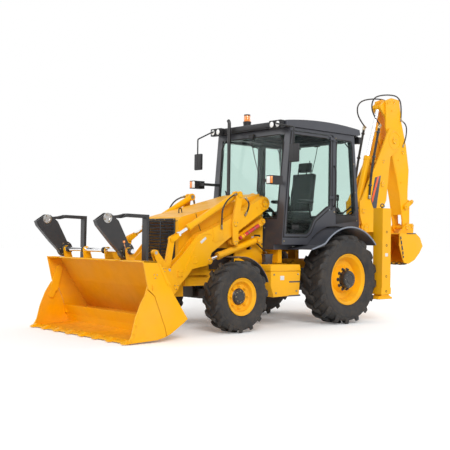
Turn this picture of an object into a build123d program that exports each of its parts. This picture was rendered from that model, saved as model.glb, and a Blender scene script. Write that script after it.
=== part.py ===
from build123d import *
import os
from math import atan2, cos, degrees, hypot, radians, sin

# A side-shift backhoe loader. Millimetres, +Z up, the front towards -Y, the machine's left towards +X.
# Side outlines are written as (y, z), with y counted from the front axle and z from the ground.

os.makedirs("parts", exist_ok=True)

# ---------------------------------------------------------------- overall sizes
WHEELBASE = 2100.0
OVERALL_WIDTH = 2330.0
FRONT_REACH = 2035.0            # fork heads ahead of the front axle
REAR_REACH = 5080.0             # digging bucket behind the front axle
FRONT_AXLE_Y = (FRONT_REACH - REAR_REACH) / 2
HALF_WIDTH = OVERALL_WIDTH / 2
PIN_FIT = 0.05                  # radial clearance of every running fit
OPEN_FIT = 2.0                  # radial clearance where a closed linkage is left open
GAP = 5.0                       # least clearance between pieces that pass each other

# ---------------------------------------------------------------- wheels and axles
TRACK_X = 900.0                 # wheel centre planes, front and rear
FRONT_TYRE = dict(radius=482.5, width=308.0, flange=252.5, bead=230.0)
REAR_TYRE = dict(radius=668.0, width=430.0, flange=383.0, bead=358.0)
KINGPIN_X = 720.0
KINGPIN_R = 22.0
SPINDLE_R = 45.0
REAR_SPINDLE_R = 70.0
FRONT_AXLE_Z = FRONT_TYRE["radius"]
REAR_AXLE_Z = REAR_TYRE["radius"]

# ---------------------------------------------------------------- loader linkage, side view
ARM_PIVOT = (837.0, 1769.0)
CRANK_PIVOT = (250.0, 1465.0)
CRANK_ARM = (80.0, 405.0)       # from the crank pivot up to the tilt ram, and from the lever pivot to the rod eye
LINK_DROP = (10.0, -260.0)      # from the crank pivot to the levelling link, and from the arm pivot to its frame pin
BUCKET_PIVOT = (-774.0, 618.0)
LEVER_PIVOT = (-865.0, 835.0)
BUCKET_CRANK = (-194.0, 226.0)  # from the bucket pivot to the link pin, and from the lever pivot to the link
LIFT_BASE = (750.0, 1243.0)
LIFT_EYE = (-178.0, 953.0)


def add(p, q):
    return (p[0] + q[0], p[1] + q[1])


def polar(p, length, angle):
    return (p[0] + length * cos(radians(angle)), p[1] + length * sin(radians(angle)))


TILT_BASE = add(CRANK_PIVOT, CRANK_ARM)
TILT_EYE = add(LEVER_PIVOT, CRANK_ARM)
LEVEL_FRONT = add(CRANK_PIVOT, LINK_DROP)
LEVEL_REAR = add(ARM_PIVOT, LINK_DROP)
LINK_TOP = add(LEVER_PIVOT, BUCKET_CRANK)
LINK_FOOT = add(BUCKET_PIVOT, BUCKET_CRANK)

LEVER_PIN_R = 20.0

# planes across the machine, as (inner x, outer x)
TOWER_X = (403.0, 421.0)
ARM_X = (436.0, 559.0)
ARM_MID_X = (ARM_X[0] + ARM_X[1]) / 2
SLOT_X = (454.0, 541.0)         # the forked front of each arm
CRANK_X = (567.0, 597.0)
LEVER_X = (480.0, 515.0)
LINK_X = ((463.0, 475.0), (520.0, 532.0))
LEVEL_X = (470.0, 525.0)
BUCKET_EAR_X = ((405.0, 431.0), (564.0, 590.0))

# ---------------------------------------------------------------- backhoe linkage, side view
SWING_Y = 3310.0
BOOM_PIVOT = (3620.0, 1460.0)
BOOM_RAM_BASE = (3620.0, 1160.0)
BOOM_RAM_EYE = (4070.0, 2239.0)
DIPPER_PIVOT = (4400.0, 3030.0)
DIPPER_RAM_BASE = (3560.0, 1760.0)
DIPPER_RAM_EYE = (4120.0, 3600.0)
HOE_PIVOT = (4800.0, 1500.0)
TIP_LEVER_PIVOT = (4760.0, 1860.0)
TIP_LEVER = (220.0, 29.0)       # length and angle of the tipping lever
HOE_CRANK = (150.0, 10.0)       # length and angle from the bucket pivot to the tipping link
CROWD_BASE = (4690.0, 2850.0)
TIP_TOP = polar(TIP_LEVER_PIVOT, *TIP_LEVER)
HOE_LINK_PIN = polar(HOE_PIVOT, *HOE_CRANK)
KINGPOST_X = (66.0, 92.0)
DIPPER_X = (95.0, 120.0)
BOOM_X = (128.0, 155.0)
TIP_LEVER_X = (126.0, 142.0)
TIP_LINK_X = (34.0, 58.0)
HOE_EAR_X = (128.0, 152.0)
HOE_HALF = 290.0

# ---------------------------------------------------------------- front bucket, side view
JAW_PIVOT = (-1530.0, 800.0)
FORK_SHAFT = (-1580.0, 1085.0)
FORK_HEAD = (-1870.0, 1490.0)
FORK_SHAFT_R = 27.0
FORK_CENTRES = (-900.0, 600.0)
BUCKET_PLATE = 20.0
SHEET = 16.0

# ---------------------------------------------------------------- cab and body
CAB_HALF = 800.0
CAB_WALL = 45.0
CAB_FLOOR_Z = 1105.0
CAB_ROOF_Z = 2885.0
DOOR_GAP = 8.0
DOOR_HINGE = (812.0, 2035.0)    # x, y
HOOD_HALF = 397.0
HOOD_SKIN = 8.0
HOOD_HINGE = (905.0, 1915.0)
LEG_X = (985.0, 1165.0)
LEG_Y = (2790.0, 3000.0)
LEG_Z = (420.0, 1760.0)
LEG_WALL = 10.0


# ---------------------------------------------------------------- working planes and small shapes
def side(x):
    return Plane(origin=(x, FRONT_AXLE_Y, 0), x_dir=(0, 1, 0), z_dir=(1, 0, 0))


def front(y):
    return Plane(origin=(0, FRONT_AXLE_Y + y, 0), x_dir=(1, 0, 0), z_dir=(0, -1, 0))


def level(z):
    return Plane(origin=(0, FRONT_AXLE_Y, z), x_dir=(1, 0, 0), z_dir=(0, 0, 1))


def plate(points, x0, x1, mode=Mode.ADD):
    """A plate with a straight-sided (y, z) outline, from x0 to x1."""
    with BuildSketch(side(x0)) as outline:
        with BuildLine():
            Polyline(*points, close=True)
        make_face()
    extrude(outline.sketch, amount=x1 - x0, mode=mode)


def panel(points, y0, y1, mode=Mode.ADD):
    """A plate with an (x, z) outline, from y0 back to y1."""
    with BuildSketch(front(y1)) as outline:
        with BuildLine():
            Polyline(*points, close=True)
        make_face()
    extrude(outline.sketch, amount=y1 - y0, mode=mode)


def disc(at, radius, x0, x1, mode=Mode.ADD):
    """A round boss, pin or bore across the machine at (y, z)."""
    with BuildSketch(side(x0)) as outline:
        with Locations(at):
            Circle(radius)
    extrude(outline.sketch, amount=x1 - x0, mode=mode)


def hull_plate(circles, x0, x1, mode=Mode.ADD):
    """A plate drawn tightly round circles given as ((y, z), radius)."""
    with BuildSketch(side(x0)) as outline:
        for at, radius in circles:
            with Locations(at):
                Circle(radius)
        make_hull()
    extrude(outline.sketch, amount=x1 - x0, mode=mode)


def block(x, y, z, mode=Mode.ADD):
    """A box from its (low, high) pairs."""
    with BuildSketch(level(z[0])) as outline:
        with Locations(((x[0] + x[1]) / 2, (y[0] + y[1]) / 2)):
            Rectangle(x[1] - x[0], y[1] - y[0])
    extrude(outline.sketch, amount=z[1] - z[0], mode=mode)


def post(x, y, radius, z0, z1, mode=Mode.ADD):
    """An upright cylinder."""
    with BuildSketch(level(z0)) as outline:
        with Locations((x, y)):
            Circle(radius)
    extrude(outline.sketch, amount=z1 - z0, mode=mode)


def along(start, end, x, offset=0.0):
    """A plane at a distance along the line from start to end, facing along it."""
    length = hypot(end[0] - start[0], end[1] - start[1])
    step = offset / length
    origin = (x, FRONT_AXLE_Y + start[0] + (end[0] - start[0]) * step, start[1] + (end[1] - start[1]) * step)
    return Plane(origin=origin, x_dir=(1, 0, 0), z_dir=(0, end[0] - start[0], end[1] - start[1]))


def shaft(start, end, x, radius, first, last, mode=Mode.ADD):
    """A round bar on the line from start to end, between two distances from start."""
    with BuildSketch(along(start, end, x, first)) as outline:
        Circle(radius)
    extrude(outline.sketch, amount=last - first, mode=mode)


def bent_tube(points, radius):
    """A tube along straight runs with rounded corners, through (x, y, z) points."""
    places = [Vector(x, FRONT_AXLE_Y + y, z) for x, y, z in points]
    with BuildLine() as route:
        FilletPolyline(*places, radius=radius * 2.5)
    with BuildSketch(Plane(origin=places[0], z_dir=places[1] - places[0])) as outline:
        Circle(radius)
    sweep(outline.sketch, path=route.wires()[0])


def ring_sector(centre, inner, outer, start, end, x0, x1, mode=Mode.ADD):
    """A curved band about a crosswise axis, between two angles in the side view."""
    middle = (start + end) / 2
    with BuildSketch(side(x0)) as outline:
        with BuildLine():
            ThreePointArc(*(polar(centre, outer, angle) for angle in (start, middle, end)))
            Line(polar(centre, outer, end), polar(centre, inner, end))
            ThreePointArc(*(polar(centre, inner, angle) for angle in (end, middle, start)))
            Line(polar(centre, inner, start), polar(centre, outer, start))
        make_face()
    extrude(outline.sketch, amount=x1 - x0, mode=mode)


def strip(points, thickness):
    """The closed outline of a bent sheet on the left of an open line of points."""
    normals = []
    for (y0, z0), (y1, z1) in zip(points, points[1:]):
        length = hypot(y1 - y0, z1 - z0)
        normals.append(((z0 - z1) / length, (y1 - y0) / length))
    far = []
    for index, (y, z) in enumerate(points):
        before = normals[max(index - 1, 0)]
        after = normals[min(index, len(normals) - 1)]
        scale = thickness / (1 + before[0] * after[0] + before[1] * after[1])
        far.append((y + (before[0] + after[0]) * scale, z + (before[1] + after[1]) * scale))
    return list(points) + far[::-1]


def spin(plane, profile, mode=Mode.ADD):
    """A turned piece about the crosswise axis of a plane, its profile in (across, radius)."""
    with BuildSketch(plane) as outline:
        with BuildLine():
            Polyline(*profile, close=True)
        make_face()
    revolve(outline.sketch, axis=Axis(plane.origin, (1, 0, 0)), mode=mode)


def pair(low, high, facing):
    """A (low, high) pair of x on the left, or its mirror on the right."""
    return (low, high) if facing > 0 else (-high, -low)


def finish(builder, label):
    builder.part.label = label
    export_step(builder.part, f"parts/{label}.step")


def finish_mirror(builder, label):
    """The same piece for the machine's right side."""
    copy = mirror(builder.part, about=Plane.YZ)
    copy.label = label
    export_step(copy, f"parts/{label}.step")


# ---------------------------------------------------------------- rams
# name: base, eye, middle plane, barrel radius, rod radius, barrel length, half width of the eyes,
#       base pin radius, eye pin radius, stroke still to come out of the barrel
RAMS = dict(
    lift=(LIFT_BASE, LIFT_EYE, ARM_MID_X, 48.0, 25.0, 780.0, 27.0, 30.0, 25.0, 645.0),
    tilt=(TILT_BASE, TILT_EYE, ARM_MID_X, 45.0, 25.0, 985.0, 25.0, 30.0, 20.0, 250.0),
    boom=(BOOM_RAM_BASE, BOOM_RAM_EYE, 0.0, 55.0, 32.0, 650.0, 45.0, 32.0, 32.0, 0.0),
    dipper=(DIPPER_RAM_BASE, DIPPER_RAM_EYE, 0.0, 60.0, 32.0, 1000.0, 45.0, 32.0, 32.0, 0.0),
    crowd=(CROWD_BASE, TIP_TOP, 0.0, 45.0, 25.0, 640.0, 24.0, 25.0, 25.0, 150.0),
)
ROD_GRIP = 60.0                 # rod left inside the gland at full stroke
FORK_DEPTH = 110.0              # from the tilt rod's pin back to the root of its fork


def point_on(start, end, distance):
    length = hypot(end[0] - start[0], end[1] - start[1])
    return (start[0] + (end[0] - start[0]) * distance / length, start[1] + (end[1] - start[1]) * distance / length)


for ram, (base, eye, x, barrel_r, rod_r, length, half, base_r, eye_r, stroke) in RAMS.items():
    reach = hypot(eye[0] - base[0], eye[1] - base[1])
    plural = "s" if x else ""
    with BuildPart() as barrel:
        disc(base, base_r + 22, x - half, x + half)
        shaft(base, eye, x, barrel_r, base_r + 12, length)
        shaft(base, eye, x, barrel_r + 6, length - 70, length)
        shaft(base, eye, x, rod_r + PIN_FIT, base_r + 45, length, mode=Mode.SUBTRACT)
        disc(base, base_r + PIN_FIT, x - half, x + half, mode=Mode.SUBTRACT)
        if x:
            mirror(about=Plane.YZ)
    finish(barrel, f"{ram}_barrel{plural}")
    with BuildPart() as rod:
        tail = max(length - ROD_GRIP - stroke, base_r + 60)
        if ram == "tilt":
            # a fork that straddles the lever, with a pin stub on each cheek
            shaft(base, eye, x, rod_r, tail, reach - FORK_DEPTH)
            shaft(base, eye, x, 36, reach - FORK_DEPTH - 26, reach - FORK_DEPTH + 2)
            for low, high, inner, outer in ((462.0, 474.0, 459.0, 478.0), (521.0, 533.0, 517.0, 536.0)):
                hull_plate(((eye, eye_r + 18), (point_on(base, eye, reach - FORK_DEPTH - 10), 24)), low, high)
                disc(eye, eye_r, inner, outer)
        else:
            shaft(base, eye, x, rod_r, tail, reach - eye_r)
            disc(eye, eye_r + 20, x - half, x + half)
        if x:
            mirror(about=Plane.YZ)
    finish(rod, f"{ram}_rod{plural}")

# ---------------------------------------------------------------- tyres and rims
# rim profiles as (outwards from the wheel's centre plane, radius)
FRONT_RIM = ((-112, 212), (-112, 229.5), (110, 229.5), (110, 252.5), (132, 252.5), (132, 243), (118, 233), (104, 205),
             (60, 192), (46, 178), (46, 120), (70, 98), (70, SPINDLE_R + PIN_FIT), (-90, SPINDLE_R + PIN_FIT),
             (-90, 90), (26, 98), (26, 188), (40, 206), (30, 212))
REAR_RIM = ((-150, 340), (-150, 357.5), (152, 357.5), (152, 383), (176, 383), (176, 372), (160, 360), (140, 335),
            (70, 300), (40, 290), (30, 240), (30, 205), (96, 165), (100, 150), (110, 135), (185, 130), (190, 100),
            (190, REAR_SPINDLE_R + PIN_FIT), (-190, REAR_SPINDLE_R + PIN_FIT), (-190, 150), (4, 170), (6, 240),
            (20, 312), (50, 326), (70, 340))


def tyre_profile(size):
    """The half section of a tyre, from the bead round the tread and back, as (across, radius)."""
    half, radius, bead = size["width"] / 2, size["radius"], size["bead"]
    edge = ((0.70, bead), (0.70, size["flange"] + 3), (0.92, size["flange"] + 30), (1.0, (radius + bead) / 2),
            (0.97, radius - 45), (0.90, radius - 14), (0.72, radius))
    outer = [(half * across, r) for across, r in edge]
    return outer + [(-across, r) for across, r in reversed(outer)]


# end, y, z, tyre sizes, rim profile
WHEELS = (
    ("front", 0.0, FRONT_AXLE_Z, FRONT_TYRE, FRONT_RIM),
    ("rear", WHEELBASE, REAR_AXLE_Z, REAR_TYRE, REAR_RIM),
)
for end, y, z, size, profile in WHEELS:
    centre = Plane(origin=(TRACK_X, FRONT_AXLE_Y + y, z), x_dir=(1, 0, 0), z_dir=(0, -1, 0))
    with BuildPart() as tyre:
        spin(centre, tyre_profile(size))
    finish(tyre, f"tyre_{end}_left")
    finish_mirror(tyre, f"tyre_{end}_right")
    with BuildPart() as rim:
        spin(centre, profile)
    finish(rim, f"rim_{end}_left")
    finish_mirror(rim, f"rim_{end}_right")

# ---------------------------------------------------------------- axles and knuckles
LUG_LOWER_Z = (350.0, 390.0)
LUG_UPPER_Z = (575.0, 615.0)
AXLE_PIN_R = 30.0
with BuildPart() as axle_beams:
    panel(((-640, 540), (-200, 550), (200, 550), (640, 540), (640, 425), (200, 412), (-200, 412), (-640, 425)), -62, 62)
    for facing in (-1, 1):
        block(pair(600, 652, facing), (-55, 55), (LUG_LOWER_Z[0], LUG_UPPER_Z[1]))
        for low, high in (LUG_LOWER_Z, LUG_UPPER_Z):
            block(pair(640, KINGPIN_X, facing), (-50, 50), (low, high))
            post(facing * KINGPIN_X, 0, 50, low, high)
            post(facing * KINGPIN_X, 0, KINGPIN_R + PIN_FIT, low, high, mode=Mode.SUBTRACT)
    with BuildSketch(front(70)) as axle_bore:
        with Locations((0, FRONT_AXLE_Z)):
            Circle(AXLE_PIN_R + PIN_FIT)
    extrude(axle_bore.sketch, amount=140, mode=Mode.SUBTRACT)
    rear_axle = (WHEELBASE, REAR_AXLE_Z)
    disc(rear_axle, 110, -640, 640)
    disc(rear_axle, 215, -140, 140)
    for facing in (-1, 1):
        disc(rear_axle, 150, *pair(640, 700, facing))
        disc(rear_axle, REAR_SPINDLE_R, *pair(700, 1085, facing))
        block(pair(282, 338, facing), (WHEELBASE - 90, WHEELBASE + 90), (REAR_AXLE_Z + 50, 820))
finish(axle_beams, "axle_beams")

FENDER_R = FRONT_TYRE["radius"] + 45
with BuildPart() as knuckle:
    post(KINGPIN_X, 0, 42, LUG_LOWER_Z[1] + 5, LUG_UPPER_Z[0] - 5)
    post(KINGPIN_X, 0, KINGPIN_R, LUG_LOWER_Z[0] - 6, LUG_UPPER_Z[1] + 6)
    disc((0, FRONT_AXLE_Z), SPINDLE_R, KINGPIN_X, 955)
    disc((0, FRONT_AXLE_Z), 80, KINGPIN_X, 800)
    # the fender's bracket up the inner side of the tyre, then the narrow fender over it
    plate(((0, 440), (0, 520), (68, 580), (68, 1004), (108, 998), (108, 440)), 722, 734)
    plate(((68, 994), (68, 1006), (108, 1000), (108, 988)), 722, 802)
    ring_sector((0, FRONT_AXLE_Z), FENDER_R, FENDER_R + 10, 20, 100, 800, 1010)
finish(knuckle, "knuckle_left")
finish_mirror(knuckle, "knuckle_right")

# ---------------------------------------------------------------- main frame
RAIL = ((-430, 600), (-430, 750), (-312, 800), (1500, 800), (1700, 940), (2790, 940), (2790, 820), (1800, 820),
        (1500, 640), (300, 600))
TOWER = ((340, 800), (420, 1150), (560, 1400), (700, 1640), (735, 1790), (780, 1862), (880, 1872), (925, 1840),
         (940, 1500), (940, 800))
RAIL_X = (280.0, 340.0)
OUTRIGGERS = ((1060, 1140, 800), (2380, 2460, 940))
with BuildPart() as main_frame:
    for facing in (-1, 1):
        plate(RAIL, *pair(*RAIL_X, facing))
        plate(TOWER, *pair(*TOWER_X, facing))
        block(pair(RAIL_X[1], TOWER_X[1], facing), (360, 940), (720, 800))
        block(pair(TOWER_X[0], 425, facing), (620, 700), (1100, 1180), mode=Mode.SUBTRACT)
        for at, radius, reach in ((ARM_PIVOT, 38, 575), (LEVEL_REAR, 28, 535), (LIFT_BASE, 30, 555)):
            disc(at, radius, *pair(410, reach, facing))
        disc(ARM_PIVOT, 60, *pair(TOWER_X[1], 430, facing))
        for low, high, z in OUTRIGGERS:
            block(pair(300, 470, facing), (low, high), (z - 60, CAB_FLOOR_Z))
            block(pair(470, 620, facing), (low, high), (z + 110, CAB_FLOOR_Z))
    for low, high in ((360, 440), (1240, 1320), (2700, 2790)):
        block((-280, 280), (low, high), (640, 760) if low < 2000 else (830, 930))
    # nose block with a slot and an upright bore to tow from, then the trunnion of the front axle
    block((-300, 300), (-750, -430), (460, 750))
    block((-320, 320), (-440, -400), (600, 750))
    block((-60, 60), (-760, -690), (540, 620), mode=Mode.SUBTRACT)
    post(0, -722, 22, 450, 760, mode=Mode.SUBTRACT)
    for low, high in ((-110, -68), (68, 110)):
        panel(((-110, 430), (-110, 600), (-280, 640), (-280, 760), (280, 760), (280, 640), (110, 600), (110, 430)), low, high)
    with BuildSketch(front(110)) as axle_pin:
        with Locations((0, FRONT_AXLE_Z)):
            Circle(AXLE_PIN_R)
    extrude(axle_pin.sketch, amount=220)
    # cross bar behind the hood, with the hood's two hinges
    block((-TOWER_X[0], TOWER_X[0]), (930, 950), (1700, 1890))
    for x in (-230, 230):
        for low, high in ((-32, -20), (20, 32)):
            hull_plate(((HOOD_HINGE, 14), ((938, 1860), 12)), x + low, x + high)
        disc(HOOD_HINGE, 9, x - 25, x + 25)
finish(main_frame, "main_frame")

with BuildPart() as engine_block:
    block((-250, 250), (-280, 600), (820, 1350))
    for y in (-200, 450):
        block((-330, 330), (y, y + 90), (800, 840))
finish(engine_block, "engine_block")

# ---------------------------------------------------------------- hood and nose
HOOD_TOP = ((-300, 1607), (620, 1846), (885, 1915))
HOOD_BOTTOM = ((885, 1420), (330, 1120), (-300, 1120))
NOSE = ((-600, 750), (-600, 1490), (-560, 1538), (-410, 1580), (-312, 1604), (-62, 1604), (-62, 750))


HOOD_SWING_R = 1243.0           # the hood's front edge, an arc about its hinge
SEAM = 12.0


def body_shell(outline, inner, half, skin):
    """A box with side outline, emptied from below and behind by a second outline."""
    plate(outline, -half, half)
    plate(inner, -half + skin, half - skin, mode=Mode.SUBTRACT)


with BuildPart() as hood:
    body_shell(HOOD_TOP + HOOD_BOTTOM,
               ((-330, 1590), (620, 1836), (860, 1898), (860, 1000), (-330, 1000)), HOOD_HALF, HOOD_SKIN)
    block((-300, 300), (850, 900), (1000, 1880), mode=Mode.SUBTRACT)
    disc(HOOD_HINGE, HOOD_SWING_R, -HOOD_HALF, HOOD_HALF, mode=Mode.INTERSECT)
    for x in (-230, 230):
        hull_plate(((HOOD_HINGE, 16), ((870, 1900), 12)), x - 15, x + 15)
        disc(HOOD_HINGE, 9 + PIN_FIT, x - 16, x + 16, mode=Mode.SUBTRACT)
finish(hood, "hood")

GRILLE_Z = (910.0, 1500.0)
with BuildPart() as nose_cowl:
    body_shell(NOSE, ((-588, 740), (-588, 1485), (-552, 1528), (-408, 1570), (-300, 1592), (-40, 1592), (-40, 740)),
               HOOD_HALF, HOOD_SKIN)
    disc(HOOD_HINGE, HOOD_SWING_R + SEAM, -HOOD_HALF, HOOD_HALF, mode=Mode.SUBTRACT)
    with BuildSketch(front(-580)) as grille:
        with Locations((0, (GRILLE_Z[0] + GRILLE_Z[1]) / 2)):
            with GridLocations(0, 42, 1, 13):
                Rectangle(620, 26)
    extrude(grille.sketch, amount=40, mode=Mode.SUBTRACT)
finish(nose_cowl, "nose_cowl")

# ---------------------------------------------------------------- side boxes: tank and steps
with BuildPart() as side_boxes:
    for facing in (-1, 1):
        block(pair(480, 920, facing), (625, 1240), (440, 900))
        block(pair(RAIL_X[1], 480, facing), (700, 760), (650, 720))
        block(pair(RAIL_X[1], 480, facing), (1150, 1210), (650, 720))
    fillet(side_boxes.edges().filter_by(Axis.Z).filter_by(lambda e: abs(e.center().X) > 900), radius=30)
    for facing in (-1, 1):
        block(pair(720, 935, facing), (1000, 1225), (600, 640), mode=Mode.SUBTRACT)
finish(side_boxes, "side_boxes")

# ---------------------------------------------------------------- rear fenders
REAR_FENDER_R = 784.0
ARCH_CLEAR = 6.0
with BuildPart() as rear_fenders:
    ring_sector(rear_axle, REAR_FENDER_R - 14, REAR_FENDER_R, 41.5, 140, 650, 1120)
    plate((polar(rear_axle, REAR_FENDER_R, 139.5), polar(rear_axle, REAR_FENDER_R - 14, 139.5), (1249, 1111),
           (1249, 1123)), 650, 1120)
    ring_sector(rear_axle, 690, REAR_FENDER_R - 5, 41.5, 138, 650, 662)
    block((640, 662), (1780, 2420), (1300, 1350))
    mirror(about=Plane.YZ)
finish(rear_fenders, "rear_fenders")

# ---------------------------------------------------------------- cab
CAB_SIDE = ((950, CAB_FLOOR_Z), (957, 1180), (1107, CAB_ROOF_Z), (2524, CAB_ROOF_Z), (2667, 1495), (2667, CAB_FLOOR_Z))
CAB_INSIDE = ((1005, 1225), (1150, 2840), (2482, 2840), (2620, 1500), (2620, 1225))
TUB_HALF = 640.0
DOOR = ((985, 1290), (1121, 2836), (2030, 2836), (2030, 1715), (1960, 1715), (1670, 1530), (1570, 1350), (1480, 1290))
QUARTER = ((2110, 1640), (2110, 2790), (2470, 2790), (2575, 1640))
CAB_SILL_Z = 1180.0

with BuildPart() as cab_frame:
    plate(CAB_SIDE, -CAB_HALF, CAB_HALF)
    for facing in (-1, 1):
        disc(rear_axle, REAR_FENDER_R + ARCH_CLEAR, *pair(TUB_HALF, CAB_HALF + 1, facing), mode=Mode.SUBTRACT)
        block(pair(TUB_HALF, CAB_HALF + 1, facing), (940, 1600), (1000, CAB_SILL_Z), mode=Mode.SUBTRACT)
        block(pair(TUB_HALF, CAB_HALF + 1, facing), (2400, 2700), (1000, 1440), mode=Mode.SUBTRACT)
    with BuildSketch(side(-CAB_HALF + CAB_WALL)) as room:
        with BuildLine():
            Polyline(*CAB_INSIDE, close=True)
        make_face()
        with Locations(rear_axle):
            Circle(REAR_FENDER_R + ARCH_CLEAR + CAB_WALL, mode=Mode.SUBTRACT)
    extrude(room.sketch, amount=2 * (CAB_HALF - CAB_WALL), mode=Mode.SUBTRACT)
    block((-TUB_HALF + CAB_WALL, TUB_HALF - CAB_WALL), (1005, 2620), (CAB_FLOOR_Z + CAB_WALL, 1700), mode=Mode.SUBTRACT)
    block((-700, 700), (1220, 2440), (2800, 2900), mode=Mode.SUBTRACT)
    # doorways and rear side windows
    for facing in (-1, 1):
        x0, x1 = pair(740, 810, facing)
        with BuildSketch(side(x0)) as doorway:
            with BuildLine():
                Polyline(*DOOR, close=True)
            make_face()
            offset(amount=DOOR_GAP, kind=Kind.INTERSECTION)
        extrude(doorway.sketch, amount=x1 - x0, mode=Mode.SUBTRACT)
        plate(QUARTER, x0, x1, mode=Mode.SUBTRACT)
        x = facing * DOOR_HINGE[0]
        for z in (1900, 2790):
            post(x, DOOR_HINGE[1], 8, z - 30, z + 30)
            for low, high in ((z - 34, z - 22), (z + 22, z + 34)):
                post(x, DOOR_HINGE[1], 11, low, high)
                block(pair(798, 818, facing), (DOOR_HINGE[1] + 6, 2110), (low, high))
    # windscreen and rear window
    panel(((-660, 1560), (-690, 2790), (690, 2790), (660, 1560)), 900, 1300, mode=Mode.SUBTRACT)
    panel(((-700, 1640), (-700, 2790), (700, 2790), (700, 1640)), 2440, 2700, mode=Mode.SUBTRACT)
finish(cab_frame, "cab_frame")

with BuildPart() as cab_roof:
    with BuildSketch(side(-CAB_HALF - 25)) as roof_side:
        with BuildLine():
            Line((1010, CAB_ROOF_Z + 5), (2600, CAB_ROOF_Z + 5))
            Line((2600, CAB_ROOF_Z + 5), (2645, CAB_ROOF_Z + 20))
            Line((2645, CAB_ROOF_Z + 20), (2625, CAB_ROOF_Z + 98))
            ThreePointArc((2625, CAB_ROOF_Z + 98), (1790, CAB_ROOF_Z + 142), (1010, CAB_ROOF_Z + 90))
            Line((1010, CAB_ROOF_Z + 90), (1010, CAB_ROOF_Z + 5))
        make_face()
    extrude(roof_side.sketch, amount=2 * CAB_HALF + 50)
    fillet(cab_roof.edges().filter_by(Axis.Z), radius=30)
    block((-660, 660), (1260, 2400), (CAB_ROOF_Z, CAB_ROOF_Z + 70), mode=Mode.SUBTRACT)
    for x in (-700, 700):
        for y in (1180, 2460):
            post(x, y, 20, CAB_ROOF_Z, CAB_ROOF_Z + 20)
finish(cab_roof, "cab_roof")

with BuildPart() as cab_glass:
    # windscreen and rear window, then the rear side windows
    plate(((992, 1572), (1096, 2778), (1102, 2778), (998, 1572)), -655, 655)
    plate(((2622, 1650), (2506, 2780), (2512, 2780), (2628, 1650)), -695, 695)
    for facing in (-1, 1):
        plate(((2115, 1645), (2115, 2785), (2465, 2785), (2569, 1645)), *pair(770, 776, facing))
finish(cab_glass, "cab_glass")

with BuildPart() as seat:
    block((-160, 160), (1820, 2140), (CAB_FLOOR_Z + CAB_WALL, 1560))
    block((-250, 250), (1720, 2230), (1560, 1690))
    plate(((2140, 1700), (2210, 1700), (2300, 2420), (2220, 2430)), -240, 240)
    plate(((2120, 1680), (2230, 1680), (2230, 1720), (2120, 1720)), -240, 240)
    for facing in (-1, 1):
        block(pair(270, 330, facing), (1800, 2160), (1820, 1870))
        block(pair(240, 300, facing), (2000, 2060), (1640, 1830))
finish(seat, "seat")

with BuildPart() as console:
    block((-420, 420), (1050, 1180), (CAB_FLOOR_Z + CAB_WALL, 1500))
    shaft((1180, 1450), (1400, 1750), 0, 40, -60, 300)
    wheel = along((1180, 1450), (1400, 1750), 0, 310)
    with BuildSketch(wheel) as hub:
        Circle(200)
        Circle(172, mode=Mode.SUBTRACT)
        Rectangle(360, 30)
        Circle(45)
    extrude(hub.sketch, amount=-30)
    for facing in (-1, 1):
        block(pair(430, 560, facing), (2350, 2560), (CAB_FLOOR_Z + CAB_WALL, 1700))
        for y in (2400, 2500):
            post(facing * 495, y, 10, 1700, 1890)
            post(facing * 495, y, 24, 1880, 1930)
    block((420, 520), (1050, 1400), (CAB_FLOOR_Z + CAB_WALL, 1230))
    block((-520, -420), (1050, 1400), (CAB_FLOOR_Z + CAB_WALL, 1230))
finish(console, "console")

DOOR_X = (757.0, 800.0)
with BuildPart() as door:
    with BuildSketch(side(DOOR_X[0])) as door_frame:
        with BuildLine():
            Polyline(*DOOR, close=True)
        make_face()
        offset(amount=-48, kind=Kind.INTERSECTION, mode=Mode.SUBTRACT)
    extrude(door_frame.sketch, amount=DOOR_X[1] - DOOR_X[0])
    for z in (1900, 2790):
        block((785, 801), (2012, 2031), (z - 42, z + 42), mode=Mode.SUBTRACT)
        post(*DOOR_HINGE, 11, z - 20, z + 20)
        block((802, 818), (2000, 2035), (z - 20, z + 20))
        block((797, 818), (1960, 2008), (z - 20, z + 20))
        post(*DOOR_HINGE, 8 + PIN_FIT, z - 21, z + 21, mode=Mode.SUBTRACT)
finish(door, "door_left")
finish_mirror(door, "door_right")

# ---------------------------------------------------------------- lamps and mirrors
BEACON = (-330.0, 1290.0)
BEACON_Z = 3009.0
MIRROR_X = (985.0, 1150.0)
MIRROR_ARM = ((700, 1009, 2935), (700, 900, 2925), (1070, 900, 2840), (1070, 900, 2400))
with BuildPart() as lamps_and_mirrors:
    for facing in (-1, 1):
        for x in (600, 722):
            block(pair(x - 58, x + 58, facing), (925, 990), (2860, 2975))
            block(pair(x - 15, x + 15, facing), (985, 1010), (2910, 2950))
            block(pair(x - 58, x + 58, facing), (2665, 2730), (2780, 2880))
            block(pair(x - 15, x + 15, facing), (2625, 2700), (2875, 2898))
        block(pair(800, 930, facing), (640, 830), (2030, 2150))
        block(pair(660, 815, facing), (700, 740), (2070, 2110))
        block(pair(660, 690, facing), (700, 1034), (2070, 2110))
    post(*BEACON, 60, BEACON_Z, BEACON_Z + 75)
    post(*BEACON, 50, BEACON_Z + 75, BEACON_Z + 190)
    for facing in (-1, 1):
        bent_tube([(facing * x, y, z) for x, y, z in MIRROR_ARM], 11)
        block(pair(*MIRROR_X, facing), (905, 935), (2350, 2600))
finish(lamps_and_mirrors, "lamps_and_mirrors")

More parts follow.
